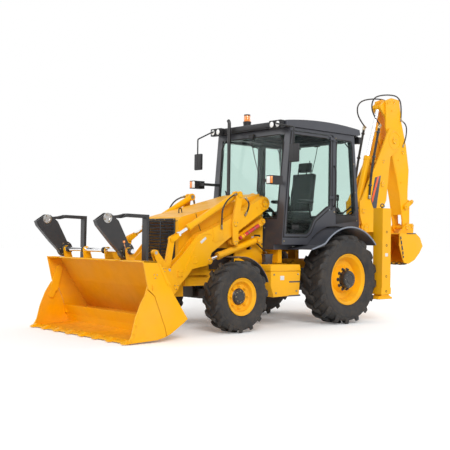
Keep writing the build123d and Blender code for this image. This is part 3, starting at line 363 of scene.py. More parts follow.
def group(name, inputs, outputs=()):
    """A node group with inputs, given as (name, default); puts out colour, roughness, height and more."""
    tree = bpy.data.node_groups.new(name, "ShaderNodeTree")
    for label, default in inputs:
        kind = "NodeSocketColor" if isinstance(default, tuple) else "NodeSocketFloat"
        tree.interface.new_socket(label, in_out="INPUT", socket_type=kind).default_value = default
    for label, kind in (("Color", "Color"), ("Roughness", "Float"), ("Height", "Float"), *outputs):
        tree.interface.new_socket(label, in_out="OUTPUT", socket_type=f"NodeSocket{kind}")
    return Network(tree), tree.nodes.new("NodeGroupInput").outputs, tree.nodes.new("NodeGroupOutput").inputs


def weathering():
    """Sun-faded, dusty and scratched paint: dust lies on faces that look up and near the ground. Chipped
    edges and scratches take the bare and highlight colour, which on the yellow paints is a painted highlight
    as well as wear.
    """
    net, given, out = group("Weathering", (
        ("Colour", (0.8, 0.8, 0.8, 1)), ("Dust Colour", (0.30, 0.22, 0.13, 1)),
        ("Bare Colour", (0.25, 0.23, 0.21, 1)), ("Roughness", 0.35), ("Fade", 0.15), ("Dust", 0.3),
        ("Wear", 0.3), ("Grain", 0.2), ("Edge", 0.004)), (("Normal", "Vector"),))
    place = net.place()
    plain = net.add("ShaderNodeNewGeometry").outputs["Normal"]
    rounded = net.add("ShaderNodeBevel", {"Radius": given["Edge"]}, samples=3).outputs["Normal"]
    broad = net.noise(place, 1.7, 3.0)
    patches = net.noise(place, 7.0, 8.0, 0.65)
    fine = net.noise(place, 60.0, 6.0, 0.7)
    orange_peel = net.noise(place, 260.0, 2.0)
    height = net.add("ShaderNodeSeparateXYZ", {0: place}).outputs["Z"]
    upward = net.add("ShaderNodeSeparateXYZ", {0: plain}).outputs["Z"]

    sunned = {"Saturation": 0.88, "Value": 0.82, "Color": given["Colour"]}
    faded = net.add("ShaderNodeHueSaturation", sunned).outputs["Color"]
    colour = net.mix(net.times(net.ramp(broad, 0.35, 0.7), given["Fade"]), given["Colour"], faded)

    low_down = net.ramp(height, 1.3, 0.1, 0.0, 0.75)
    on_top = net.ramp(upward, 0.35, 1.0, 0.0, 0.55)
    settled = net.plus(net.plus(low_down, on_top), 0.2)
    dust = net.times(net.times(settled, net.ramp(patches, 0.38, 0.72)), given["Dust"])
    colour = net.mix(dust, colour, given["Dust Colour"])

    # the chipped edges, where the Bevel normal turns from the plain one, and the scratches take the bare and
    # highlight colour by the Wear amount: on the yellow and rim paints that colour is lighter than the
    # paint, a painted highlight as well as wear
    turn = net.add("ShaderNodeVectorMath", {0: plain, 1: rounded}, operation="DOT_PRODUCT").outputs["Value"]
    edge_chips_and_highlights = net.times(net.ramp(turn, 0.995, 0.86), net.ramp(fine, 0.44, 0.62))
    stretched = {"Vector": place, "Scale": (90.0, 7.0, 7.0), "Rotation": (0.4, 0.5, 0.2)}
    streaks = net.add("ShaderNodeMapping", stretched).outputs["Vector"]
    scratches = net.ramp(net.noise(streaks, 1.0, 5.0, 0.7), 0.70, 0.78, 0.0, 0.6)
    worn_and_highlit = net.times(net.math("MAXIMUM", edge_chips_and_highlights, scratches), given["Wear"])
    net.link(net.mix(worn_and_highlit, colour, given["Bare Colour"]), out["Color"])

    rough = net.plus(given["Roughness"], net.times(dust, 0.5))
    net.link(net.plus(rough, net.ramp(patches, 0.3, 0.7, -0.05, 0.07)), out["Roughness"])
    relief = net.times(net.plus(orange_peel, net.times(fine, 0.5)), given["Grain"])
    net.link(net.math("SUBTRACT", relief, net.times(worn_and_highlit, 0.6)), out["Height"])
    net.link(rounded, out["Normal"])


def rubber():
    """Rubber with patches of dried mud, a bluish bloom and fine pitting."""
    net, given, out = group("Rubber Bloom", (
        ("Colour", (0.02, 0.02, 0.022, 1)), ("Dust Colour", (0.16, 0.12, 0.08, 1)), ("Dust", 0.5),
        ("Grain", 0.6)))
    place = net.place()
    patches = net.noise(place, 5.0, 8.0, 0.7)
    smears = net.noise(place, 22.0, 6.0, 0.65)
    pits = net.noise(place, 190.0, 3.0)
    share = net.times(net.ramp(net.times(patches, smears), 0.17, 0.42), given["Dust"])
    net.link(net.mix(share, given["Colour"], given["Dust Colour"]), out["Color"])
    net.link(net.ramp(smears, 0.3, 0.7, 0.55, 0.85), out["Roughness"])
    net.link(net.times(net.plus(pits, smears), given["Grain"]), out["Height"])


def brushed():
    """Turned or polished steel with fine rings, oil film and a little rust."""
    net, given, out = group("Machined Steel", (
        ("Colour", (0.6, 0.6, 0.62, 1)), ("Rust Colour", (0.16, 0.07, 0.03, 1)), ("Rust", 0.2),
        ("Roughness", 0.2)))
    place = net.place()
    film = net.noise(place, 14.0, 5.0)
    lines = net.add("ShaderNodeMapping", {"Vector": place, "Scale": (30.0, 260.0, 260.0)}).outputs["Vector"]
    share = net.times(net.ramp(film, 0.52, 0.72), given["Rust"])
    net.link(net.mix(share, given["Colour"], given["Rust Colour"]), out["Color"])
    net.link(net.plus(given["Roughness"], net.ramp(film, 0.3, 0.8, -0.04, 0.18)), out["Roughness"])
    net.link(net.noise(lines, 1.5, 2.0), out["Height"])


# ------------------------------------------------------------------ finishes
def paint(slot, colour, roughness, relief, shader=None, **values):
    """A weathered finish: record slot, which is not used, effect, values, relief as (strength, metres),
    shader values.
    """
    return slot, "Weathering", {"colour": colour, "roughness": roughness, **values}, relief, shader or {}


def gum(colour, dust, grain, relief=(0.2, 0.001), slot="dark_plastic", shader=None):
    """A dusty rubber or cloth finish."""
    return slot, "Rubber Bloom", {"colour": colour, "dust": dust, "grain": grain}, relief, shader or {}


def steel(slot, colour, rust, roughness, relief):
    """A bright steel finish."""
    values = {"colour": colour, "rust": rust, "roughness": roughness}
    return slot, "Machined Steel", values, relief, {"Metallic": 1.0}


WARM_SHEEN = {"Specular IOR Level": 0.35, "Specular Tint": (1.0, 0.72, 0.2, 1)}
DULL_SHEEN = {"Specular IOR Level": 0.3, "Specular Tint": (1.0, 0.7, 0.2, 1)}
EFFECTS = {"Weathering": weathering, "Rubber Bloom": rubber, "Machined Steel": brushed}
# a colour given by name is one of the loader's settings
RECIPES = {
    # the yellow and rim paints' bare and highlight colour is lighter than the paint: a painted highlight on
    # their edges and scratches, as well as wear
    "yellow": paint(
        "yellow_paint", "machine_colour", 0.36, (0.10, 0.002), WARM_SHEEN, fade=0.3, dust=0.12, wear=0.4,
        grain=0.2, bare_colour=(1.0, 0.62, 0.05), dust_colour=(0.42, 0.20, 0.04)),
    # the inside of the buckets: a darker, more orange copy of the yellow, painted shade as well as scoured
    # paint
    "bucket paint": paint(
        "yellow_paint", "bucket_colour", 0.45, (0.25, 0.003), DULL_SHEEN, fade=0.4, dust=0.2, wear=0.6,
        grain=0.5, bare_colour=(0.42, 0.20, 0.05), dust_colour=(0.36, 0.15, 0.03)),
    "rim": paint(
        "rim_paint", "rim_colour", 0.36, (0.12, 0.002), WARM_SHEEN, fade=0.4, dust=0.3, wear=0.4,
        grain=0.25, bare_colour=(1.0, 0.62, 0.06), dust_colour=(0.36, 0.17, 0.04)),
    "charcoal": paint(
        "dark_paint", "cab_colour", 0.42, (0.12, 0.002), {"Coat Weight": 0.15, "Coat Roughness": 0.3},
        fade=0.4, dust=0.22, wear=0.35, grain=0.3, bare_colour=(0.16, 0.17, 0.20),
        dust_colour=(0.20, 0.17, 0.14)),
    "black": paint(
        "black_steel", "steel_colour", 0.38, (0.15, 0.002), {"Coat Weight": 0.2, "Coat Roughness": 0.25},
        fade=0.5, dust=0.3, wear=0.6, grain=0.3, bare_colour=(0.22, 0.21, 0.20),
        dust_colour=(0.16, 0.12, 0.08)),
    "plastic": paint(
        "dark_plastic", (0.016, 0.016, 0.018), 0.5, (0.3, 0.001), {"Specular IOR Level": 0.4}, fade=0.3,
        dust=0.25, wear=0.15, grain=0.6, bare_colour=(0.07, 0.07, 0.075), dust_colour=(0.14, 0.12, 0.10)),
    "red": paint(
        "dark_paint", (0.56, 0.018, 0.022), 0.35, (0.1, 0.002), {"Coat Weight": 0.3}, fade=0.5, dust=0.3,
        wear=0.4, grain=0.2),
    "flame stripe": paint(
        "dark_paint", (0.80, 0.10, 0.01), 0.4, (0.05, 0.001), fade=0.4, dust=0.2, wear=0.2),
    "blank plate": paint(
        "pin_steel", (0.72, 0.72, 0.70), 0.4, (0.05, 0.001), fade=0.3, dust=0.35, wear=0.3),
    "iron": paint(
        "engine_iron", (0.055, 0.055, 0.06), 0.6, (0.5, 0.004), {"Metallic": 0.3}, fade=0.6, dust=0.6,
        wear=0.4, grain=0.9),
    "tyre": gum("tyre_colour", 0.3, 0.7, (0.35, 0.003), "tyre_rubber"),
    "hose": gum((0.008, 0.008, 0.009), 0.3, 0.4),
    "seal": gum((0.006, 0.006, 0.007), 0.2, 0.3),
    "lip rubber": gum((0.20, 0.23, 0.28), 0.3, 0.4),
    "cloth": gum((0.035, 0.036, 0.042), 0.15, 1.0, (0.5, 0.001), shader={"Sheen Weight": 0.4}),
    "chrome": steel("chrome_rod", (0.86, 0.87, 0.89), 0.05, 0.07, (0.03, 0.0005)),
    "pin": steel("pin_steel", (0.46, 0.45, 0.44), 0.5, 0.28, (0.15, 0.001)),
    "bolt": steel("pin_steel", (0.34, 0.29, 0.20), 0.4, 0.30, (0.15, 0.001)),
    "mirror": steel("chrome_rod", (0.85, 0.87, 0.88), 0.0, 0.04, (0.0, 0.001)),
} | {
    name: paint(None, colour, roughness, (0.1, 0.001), {"Coat Weight": 0.8}, fade=fade, dust=dust, wear=0.0,
                grain=0.1)
    for name, colour, roughness, fade, dust in (
        ("lens", (0.86, 0.87, 0.85), 0.12, 0.1, 0.1), ("amber", (0.90, 0.26, 0.01), 0.15, 0.3, 0.15),
        ("red lens", (0.50, 0.01, 0.01), 0.15, 0.3, 0.15))
}
GLASS = paint("cab_glazing", "glass_colour", 0.0, None, {"Transmission Weight": 1.0, "IOR": 1.12}, fade=0.1,
              dust=0.08, wear=0.0, edge=0.0, dust_colour=(0.60, 0.62, 0.58))


def colour_property(name, description, default):
    return bpy.props.FloatVectorProperty(name=name, description=description, default=default, size=3,
                                         subtype="COLOR", min=0.0, max=1.0)


def length_property(name, description, default):
    return bpy.props.FloatProperty(name=name, description=description, default=default, unit="LENGTH",
                                   min=0.0)


class LoaderColours(bpy.types.PropertyGroup):
    """The colours of the machine's main finishes."""
    machine_colour: colour_property("Machine", "Paint of the arms, hood and boom", (0.88, 0.415, 0.001))
    # the inside of the buckets gets a darker, more orange copy of the machine's yellow: painted shade as
    # well as scoured paint
    bucket_colour: colour_property("Bucket Inside", "Scoured paint inside the buckets", (0.85, 0.365, 0.001))
    rim_colour: colour_property("Rims", "Paint of the wheel rims", (0.88, 0.41, 0.002))
    cab_colour: colour_property("Cab", "Paint of the cab and the fenders", (0.040, 0.043, 0.055))
    steel_colour: colour_property("Forks", "Paint of the forks and other black steel", (0.012, 0.012, 0.014))
    tyre_colour: colour_property("Tyres", "Rubber of the tyres", (0.010, 0.010, 0.0115))
    glass_colour: colour_property("Glass", "Tint of the cab's windows", (0.74, 0.86, 0.82))
    floor_colour: colour_property("Floor", "The studio floor", (0.92, 0.92, 0.92))


class LoaderSizes(bpy.types.PropertyGroup):
    """Sizes of the added pieces."""
    lug_height: length_property("Lug Height", "How far the rear tread lugs stand off the carcass", 0.046)
    lug_width: length_property("Lug Width", "Width of a rear tread lug at its top", 0.062)
    pane: length_property("Door Glass", "Thickness of the door panes", 0.006)


def colours():
    return bpy.context.scene.loader_colours


def sizes():
    return bpy.context.scene.loader_sizes


def finish(name):
    """The material of that name, built once from its recipe."""
    known = bpy.data.materials.get(name)
    if known:
        return known
    _, label, values, relief, shader_values = GLASS if name == "glass" else RECIPES[name]
    if label not in bpy.data.node_groups:
        EFFECTS[label]()
    material = bpy.data.materials.new(name)
    material.use_nodes = True
    net = Network(material.node_tree)
    shader = material.node_tree.nodes["Principled BSDF"]
    effect = net.add("ShaderNodeGroup", node_tree=bpy.data.node_groups[label])
    for key, value in values.items():
        if isinstance(value, str):
            value = getattr(colours(), value)
        flat = isinstance(value, float)
        effect.inputs[key.replace("_", " ").title()].default_value = value if flat else (*value, 1)
    net.link(effect.outputs["Color"], shader.inputs["Base Color"])
    net.link(effect.outputs["Roughness"], shader.inputs["Roughness"])
    if relief:
        inputs = {"Height": effect.outputs["Height"], "Strength": relief[0], "Distance": relief[1]}
        bump = net.add("ShaderNodeBump", inputs)
        if "Normal" in effect.outputs:
            net.link(effect.outputs["Normal"], bump.inputs["Normal"])
        net.link(bump.outputs["Normal"], shader.inputs["Normal"])
    for key, value in shader_values.items():
        shader.inputs[key].default_value = value
    return material


def dress(obj, finish_name):
    """Give a new piece its finish."""
    obj.data.materials.clear()
    obj.data.materials.append(finish(finish_name))
    return obj


def done(obj, finish_name, body):
    """Give a new piece its finish, and the body it rides on."""
    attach(dress(obj, finish_name), body)
    return obj


def fitted(name, finish_name, body, *parts, both=True):
    """One piece of its parts, finished and on its body: on both sides of the machine, or as made."""
    piece = joined(name, parts)
    if both:
        mirrored(piece)
    return done(piece, finish_name, body)


def bolted(name, finish_name, body, x, places, across):
    """Bolt heads at (y, z) places on one side plate, and on the machine's other side."""
    return fitted(name, finish_name, body, bolts([at(x, y, z) for y, z in places], across=across))


def repaint(name, finish_name, test):
    """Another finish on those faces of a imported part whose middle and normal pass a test; shapes stay."""
    mesh = NODES[name].data
    if finish(finish_name).name not in mesh.materials:
        mesh.materials.append(finish(finish_name))
    index = mesh.materials.find(finish_name)
    for face in mesh.polygons:
        if test(face.center, face.normal):
            face.material_index = index


def near(point, x, y, z):
    """Whether a point lies in (low, high) pairs of millimetres, y from the front axle; None is open."""
    place = (point.x * 1000, (point.y - AXLE.y) * 1000, point.z * 1000)
    return all(pair is None or pair[0] <= value <= pair[1] for value, pair in zip(place, (x, y, z)))


# ------------------------------------------------------------------ stage
# name, kind, place, energy, size: a sun's in degrees, the lamp's in metres
LIGHTS = (("key", "SUN", (7.5, -4.5, 6.5), 1.9, 25), ("fill", "SUN", (-6.0, -7.0, 4.5), 0.5, 25),
          ("back", "AREA", (1.0, 9.0, 7.5), 300, 6.0))
LAMP_AIM = (0, 0, 1)
CAMERA = {"place": (8.940, -8.7175, 1.271), "view": (-0.7548, 0.6558, 0.0155), "roll": 0.789, "lens": 64.23}
WHITE = (1, 1, 1, 1)


class LOADER_OT_stage(bpy.types.Operator):
    """Add the camera, the studio floor, the soft lights and the white surroundings"""
    bl_idname = "loader.stage"
    bl_label = "Add Stage"

    def execute(self, context):
        scene = context.scene
        clear()
        bpy.ops.object.camera_add()
        scene.camera = context.active_object
        scene.camera.data.lens = CAMERA["lens"]
        scene.camera.data.sensor_width = 36
        view = Vector(CAMERA["view"]).normalized().to_track_quat("-Z", "Y").to_matrix().to_4x4()
        roll = Matrix.Rotation(radians(CAMERA["roll"]), 4, "Z")
        scene.camera.matrix_world = Matrix.Translation(CAMERA["place"]) @ view @ roll

        floor = added(bpy.ops.mesh.primitive_plane_add, "studio_floor", size=120, location=(0, 0, -0.001))
        edit(floor)
        bpy.ops.mesh.subdivide(number_cuts=3)
        leave(floor)
        floor.data.materials.append(self.floor_material())
        for name, kind, place, energy, size in LIGHTS:
            clear()
            bpy.ops.object.light_add(type=kind, location=place)
            lamp = context.active_object
            lamp.name = name
            lamp.rotation_euler = (Vector(LAMP_AIM) - Vector(place)).to_track_quat("-Z", "Y").to_euler()
            lamp.data.energy = energy
            if kind == "SUN":
                lamp.data.angle = radians(size)
            else:
                lamp.data.size = size
        self.surround(scene)
        return {"FINISHED"}

    @staticmethod
    def surround(scene):
        """Surroundings that are white to the camera and plain light to the machine."""
        scene.world = bpy.data.worlds.new("surroundings")
        scene.world.use_nodes = True
        net = Network(scene.world.node_tree)
        background = scene.world.node_tree.nodes["Background"]
        background.inputs["Color"].default_value = WHITE
        net.link(net.ramp(net.seen(), 0.0, 1.0, 0.62, 1.0), background.inputs["Strength"])
        scene.view_settings.view_transform = "Standard"

    @staticmethod
    def floor_material():
        """A pale floor that shows white to the camera and keeps the machine's shadow."""
        material = bpy.data.materials.new("studio floor")
        material.use_nodes = True
        net = Network(material.node_tree)
        shader = material.node_tree.nodes["Principled BSDF"]
        mottle = net.ramp(net.noise(net.place(), 0.8, 3.0), 0.3, 0.7, 0.0, 0.25)
        floor = net.mix(mottle, (*colours().floor_colour, 1), (0.97, 0.97, 0.97, 1))
        net.link(floor, shader.inputs["Base Color"])
        shader.inputs["Roughness"].default_value = 0.9
        shader.inputs["Specular IOR Level"].default_value = 0.1
        shader.inputs["Emission Color"].default_value = WHITE
        net.link(net.ramp(net.seen(), 0.0, 1.0, 0.0, 0.12), shader.inputs["Emission Strength"])
        return material


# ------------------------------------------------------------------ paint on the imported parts
# finish: nodes; the others are yellow
COATS = {
    "charcoal": ("cab_frame", "cab_roof", "door_left", "door_right", "rear_fenders", "knuckle_left",
                 "knuckle_right"),
    "black": ("fork_arms", "fork_tines", "axle_beams", "exhaust_stack"),
    "pin": ("bucket_pins", "lever_pins", "link_pins", "tilt_pins"),
    "chrome": ("boom_rod", "crowd_rod", "dipper_rod", "lift_rods", "tilt_rods"),
    "tyre": tuple(f"tyre_{end}_{side}" for end in ("front", "rear") for side, _ in SIDES),
    "rim": tuple(f"rim_{end}_{side}" for end in ("front", "rear") for side, _ in SIDES),
    "glass": ("cab_glass",),
    "iron": ("engine_block",),
    "plastic": ("seat", "console", "lamps_and_mirrors"),
}
# x, y, z of second finishes, in millimetres
GRILLE = ((-306, 306), (-603, -440), (900, 1500))
# the main frame's faces around the front axle, low between the front wheels, are painted black
BLACK_BY_FRONT_AXLE = (None, (-120, 120), (420, 700))
FORK_SHAFT = ((-950, 760), (-1612, -1548), (1053, 1117))
BUCKET_SHELL = (None, (-1500, -1010), (85, 965))
JAW_FLOOR = (None, (-1905, -1340), (0, 330))
DIGGER_INSIDE = ((-275, 275), (4420, 5040), (860, 1380))
# in metres: from the bucket's outer side to just past its side plate, the band that the plate's inner face
# lies in, and the x from which the levelling links are red
PAST_PLATE, FACE_BAND, RED_FROM = 0.021, 0.003, 0.5285
# end: centre, radius and x of its axle hub, in metres
AXLE_HUBS = {"front": (AXLE, 0.112, 0.944), "rear": (REAR_AXLE, 0.136, 1.006)}
# rod: eye (y, z), reach of its paint
ROD_EYES = {"lift_rods": ((-178, 953), 50), "boom_rod": ((4070, 2239), 60), "dipper_rod": ((4120, 3600), 60),
            "crowd_rod": ((4952, 1967), 48), "tilt_rods": ((-785, 1240), 114)}


class LOADER_OT_paint(bpy.types.Operator):
    """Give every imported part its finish"""
    bl_idname = "loader.paint"
    bl_label = "Paint Packed Parts"

    def execute(self, context):
        coats = {name: coat for coat, names in COATS.items() for name in names}
        for name, node in NODES.items():
            if not node.material_slots:
                node.data.materials.append(None)
            for slot in node.material_slots:
                slot.material = finish(coats.get(name, "yellow"))
        self.buckets()
        for name, ((y, z), reach) in ROD_EYES.items():
            eye = at(0, y, z).yz
            repaint(name, "yellow", lambda p, n: (p.yz - eye).length < reach / 1000)
        for side, _ in SIDES:
            for end, (axle, reach, out) in AXLE_HUBS.items():
                repaint(f"rim_{end}_{side}", "black",
                        lambda p, n: (p.yz - axle.yz).length < reach and abs(p.x) > out)
        repaint("level_links", "red", lambda p, n: abs(p.x) > RED_FROM)
        repaint("main_frame", "black", lambda p, n: near(p, *BLACK_BY_FRONT_AXLE))
        repaint("nose_cowl", "plastic", lambda p, n: near(p, *GRILLE))
        repaint("bucket_back", "chrome", lambda p, n: near(p, *FORK_SHAFT))
        return {"FINISHED"}

    @staticmethod
    def buckets():
        """Scoured paint inside the buckets, in a darker and more orange copy of the machine's yellow:
        painted shade as well as wear.
        """
        inside = HALF_WIDTH - PAST_PLATE

        def on_side_plate(p, n, slope):
            return inside < abs(p.x) < inside + FACE_BAND and n.x * p.x < slope

        repaint("bucket_back", "bucket paint", lambda p, n: on_side_plate(p, n, 0) or (
            abs(p.x) < inside and n.y < -0.15 and near(p, *BUCKET_SHELL)))
        repaint("bucket_jaw", "bucket paint", lambda p, n: on_side_plate(p, n, -0.5) or (
            abs(p.x) < inside + FACE_BAND and n.z > 0.3 and near(p, *JAW_FLOOR)))
        repaint("digging_bucket", "bucket paint", lambda p, n: near(p, *DIGGER_INSIDE))


# ------------------------------------------------------------------ tyres and hubs
# end: centre, tyre radius, half width, bead, flange, lugs a side, sweep in degrees
TYRES = {"front": (AXLE, 482.5, 154.0, 230.0, 252.5, 15, 16.0),
         "rear": (REAR_AXLE, 668.0, 215.0, 358.0, 383.0, 17, 14.5)}
REAR_RADIUS = 668
# shares of a lug's length: where its shoulder begins, and where its sweep ends
SHOULDER, SWEPT = 0.7, 0.8
# shares of the tyre's half width: a lug's start and shoulder, its reach past the shoulder, and its end
LUG_START, LUG_SHOULDER, LUG_DROP, LUG_END = -0.07, 0.86, 0.09, 0.998
# shares of a lug's width, to each side of its middle: at its top and foot, and how it widens outwards
LUG_TOP, LUG_FOOT, LUG_FLARE = 0.5, 0.66, 0.35
# lower side of the carcass: share of the half width, millimetres out from the flange
FLANGE = ((0.70, 3), (0.78, 5), (0.855, 12), (0.875, 20), (0.865, 27))
# its wall: share of the half width, share of the wall's height
WALL = ((0.90, 0.22), (0.955, 0.36), (0.99, 0.52), (1.0, 0.64), (0.99, 0.74), (0.965, 0.76), (0.955, 0.79),
        (0.93, 0.88))
# its shoulder and crown: share of the half width, millimetres out from the foot of the lugs
CROWN = ((0.86, -14), (0.76, -4), (0.45, 2), (0.0, 4))


class LOADER_OT_tyres(bpy.types.Operator):
    """Model the four tyres: a turned carcass and its rows of tread lugs"""
    bl_idname = "loader.tyres"
    bl_label = "Add Tyres"

    def execute(self, context):
        for end, size in TYRES.items():
            left = self.tyre(f"tyre_{end}_left_rubber", *size)
            right = other_side(left, f"tyre_{end}_right_rubber")
            for side, tyre in (("left", left), ("right", right)):
                done(tyre, "tyre", f"wheel_{end}_{side}")
                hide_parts(f"tyre_{end}_{side}")
        return {"FINISHED"}

    @classmethod
    def tyre(cls, name, centre, radius, half, bead, flange, count, sweep):
        base = radius - sizes().lug_height * 1000 * radius / REAR_RADIUS
        wall = base - flange - 3
        side = [(0.70, bead), *((across, flange + out) for across, out in FLANGE),
                *((across, flange + share * wall) for across, share in WALL),
                *((across, base + out) for across, out in CROWN)]
        profile = [(half * across, r) for across, r in side]
        profile += [(-half * across, r) for across, r in reversed(side[:-1])]
        carcass = turned(centre, profile + profile[:1], steps=64, angle=40)
        lug = cls.lug(centre, radius, half, base, wall, sweep)
        return joined(name, [carcass, *cls.rows(lug, centre, count)])

    @staticmethod
    def lug(centre, radius, half, base, wall, sweep):
        """One lug: a swept bar from the middle of the tread, that drops over the shoulder."""
        lug = added(bpy.ops.mesh.primitive_grid_add, x_subdivisions=9, y_subdivisions=2, size=1,
                    location=(0.5, 0, 0))
        edit(lug)
        bpy.ops.mesh.extrude_region_move(TRANSFORM_OT_translate={"value": UP})
        outward(leave(lug))
        width = sizes().lug_width * 1000 * radius / REAR_RADIUS
        for vertex in lug.data.vertices:
            along, across, top = vertex.co.x, vertex.co.y * 2, vertex.co.z > 0.5
            if along < SHOULDER:
                x = LUG_START + along / SHOULDER * (LUG_SHOULDER - LUG_START)
                low, high = base - 4, radius - 4 * along
            else:
                drop = (along - SHOULDER) / (1 - SHOULDER)
                x, low = LUG_SHOULDER + LUG_DROP * drop, base - 10 - 0.20 * wall * drop
                high = radius - 4 - (radius - base + 0.10 * wall) * drop
            if top:
                x = min(x * (1.0 + 0.05 * max(0.0, along - 0.6)), LUG_END)
            swing = radians(sweep) * min(along, SWEPT) / SWEPT
            reach = width * (LUG_TOP if top else LUG_FOOT) * (1.0 + LUG_FLARE * along)
            r = high if top else low
            angle = swing + across * reach / radius
            vertex.co = centre + Vector((half * x, r * sin(angle), r * cos(angle))) / 1000
        return soften(lug, 4 * radius / REAR_RADIUS, 2, 25)

    @staticmethod
    def rows(lug, centre, count):
        """Both rows of lugs round the carcass, the inner row half a pitch on."""
        about = Matrix.Translation(centre)
        inner = copied(lug)
        inner.matrix_world = about @ Matrix.Scale(-1, 4, (1, 0, 0)) @ about.inverted()
        outward(settle(inner))
        made = []
        for row, start in ((lug, 0.0), (inner, 0.5)):
            turns = [about @ Matrix.Rotation(2 * pi * (step + start) / count, 4, "X") @ about.inverted()
                     for step in range(count)]
            made.append(placed(row, turns))
        return made


# end: centre, cap profile, (offset, ring radius) of the cap screws,
# (count, ring radius, offset, size, finish) of the wheel nuts
HUBS = {
    "front": (AXLE, (
        (66, 46), (66, 92), (74, 97), (84, 96), (90, 88), (93, 60), (99, 56), (101, 30), (101, 0)),
        (89, 74), (8, 148, 46, 1.0, "yellow")),
    "rear": (REAR_AXLE, (
        (186, 72), (186, 118), (191, 124), (199, 122), (204, 112), (205, 84), (198, 78), (198, 62),
        (206, 56), (207, 30), (207, 0)), (190, 98), (10, 151, 99, 1.15, "black")),
}


class LOADER_OT_hubs(bpy.types.Operator):
    """Model the hub caps, studs and wheel nuts"""
    bl_idname = "loader.hubs"
    bl_label = "Add Hubs"

    def execute(self, context):
        for end, (centre, profile, (out, screw_ring), (count, nut_ring, offset, size, coat)) in HUBS.items():
            cap = turned(centre, profile, steps=40)
            cap.name = f"hub_cap_{end}_left"
            ring_of_screws = around(centre + Vector((out / 1000, 0, 0)), 8, screw_ring, size=0.45)
            screws = placed(self.nut(), ring_of_screws, f"hub_screws_{end}_left")
            ring_of_nuts = around(centre + Vector((offset / 1000, 0, 0)), count, nut_ring, size=size)
            nuts = placed(self.nut(), ring_of_nuts, f"wheel_nuts_{end}_left")
            for piece, finish_name in ((cap, "black"), (screws, "bolt"), (nuts, coat)):
                right = other_side(piece, piece.name.replace("left", "right"))
                done(right, finish_name, f"wheel_{end}_right")
                done(piece, finish_name, f"wheel_{end}_left")
        return {"FINISHED"}

    @staticmethod
    def nut():
        """A hexagon nut on its washer and stud, made at the origin."""
        parts = [disc(6, 19, 16, 12, 2.5), disc(20, 24, 4, 2, 1), disc(14, 11, 22, 27, 2)]
        return smooth(joined("nut", parts))


# ------------------------------------------------------------------ small parts that repeat
def pin_cap(place, radius):
    """The retaining disc on the end of a pin."""
    profile = ((0, radius), (4, radius), (6, radius - 2.5), (6, radius * 0.55), (3.5, radius * 0.5),
               (3.5, 0))
    return turned(place, profile, steps=32)


# a ferrule's two parts: reach back and ahead from the hose's tip, share of the hose's radius, sides
SLEEVE, NUT = (8, 42, 1.35, 16), (22, 2, 1.7, 6)


def hose(name, points, bodies, radius, both=False):
    """A hydraulic hose with its ferrules. Between two bodies it rides on none, and each ferrule rides on its
    own end's body.
    """
    line = tube(points, radius, sides=12)
    line.name = name
    ends = []
    for tip, inner in ((points[0], points[1]), (points[-1], points[-2])):
        tip = Vector(tip)
        way = (Vector(inner) - tip).normalized()
        parts = [bar(tip - way * behind, tip + way * ahead, radius * share, sides)
                 for behind, ahead, share, sides in (SLEEVE, NUT)]
        ends.append(joined(f"{name}_fitting_{len(ends) + 1}", parts))
    if both:
        for piece in (line, *ends):
            mirrored(piece)
    if len(bodies) == 1:
        done(line, "hose", bodies[0])
    else:
        dress(line, "hose")
        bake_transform(line)
    for piece, body in zip(ends, (bodies[0], bodies[-1])):
        done(piece, "bolt", body)


# ------------------------------------------------------------------ cab glass, seals and lamps
DOOR = [(985, 1290), (1121, 2836), (2030, 2836), (2030, 1715), (1960, 1715), (1670, 1530), (1570, 1350),
        (1480, 1290)]
QUARTER = [(2110, 1640), (2110, 2790), (2470, 2790), (2575, 1640)]
DOOR_FRAME = 48
# windscreen and rear window corners in (x, y, z)
WINDSCREEN = [(-660, 988, 1560), (660, 988, 1560), (690, 1096, 2790), (-690, 1096, 2790)]
REAR_WINDOW = [(-700, 2654, 1640), (700, 2654, 1640), (700, 2535, 2790), (-700, 2535, 2790)]
# name, arm points, blade ends, offset in y from the blade's holder to its rubber
WIPERS = (("windscreen_wiper", ((0, 1080, 2800), (0, 1064, 2790), (150, 1024, 2420), (240, 1010, 2240)),
           ((240, 1018, 2560), (240, 984, 1960)), 8),
          ("rear_wiper", ((0, 2550, 2800), (0, 2566, 2785), (-130, 2606, 2450), (-200, 2620, 2300)),
           ((-200, 2592, 2560), (-200, 2640, 2060)), -8))


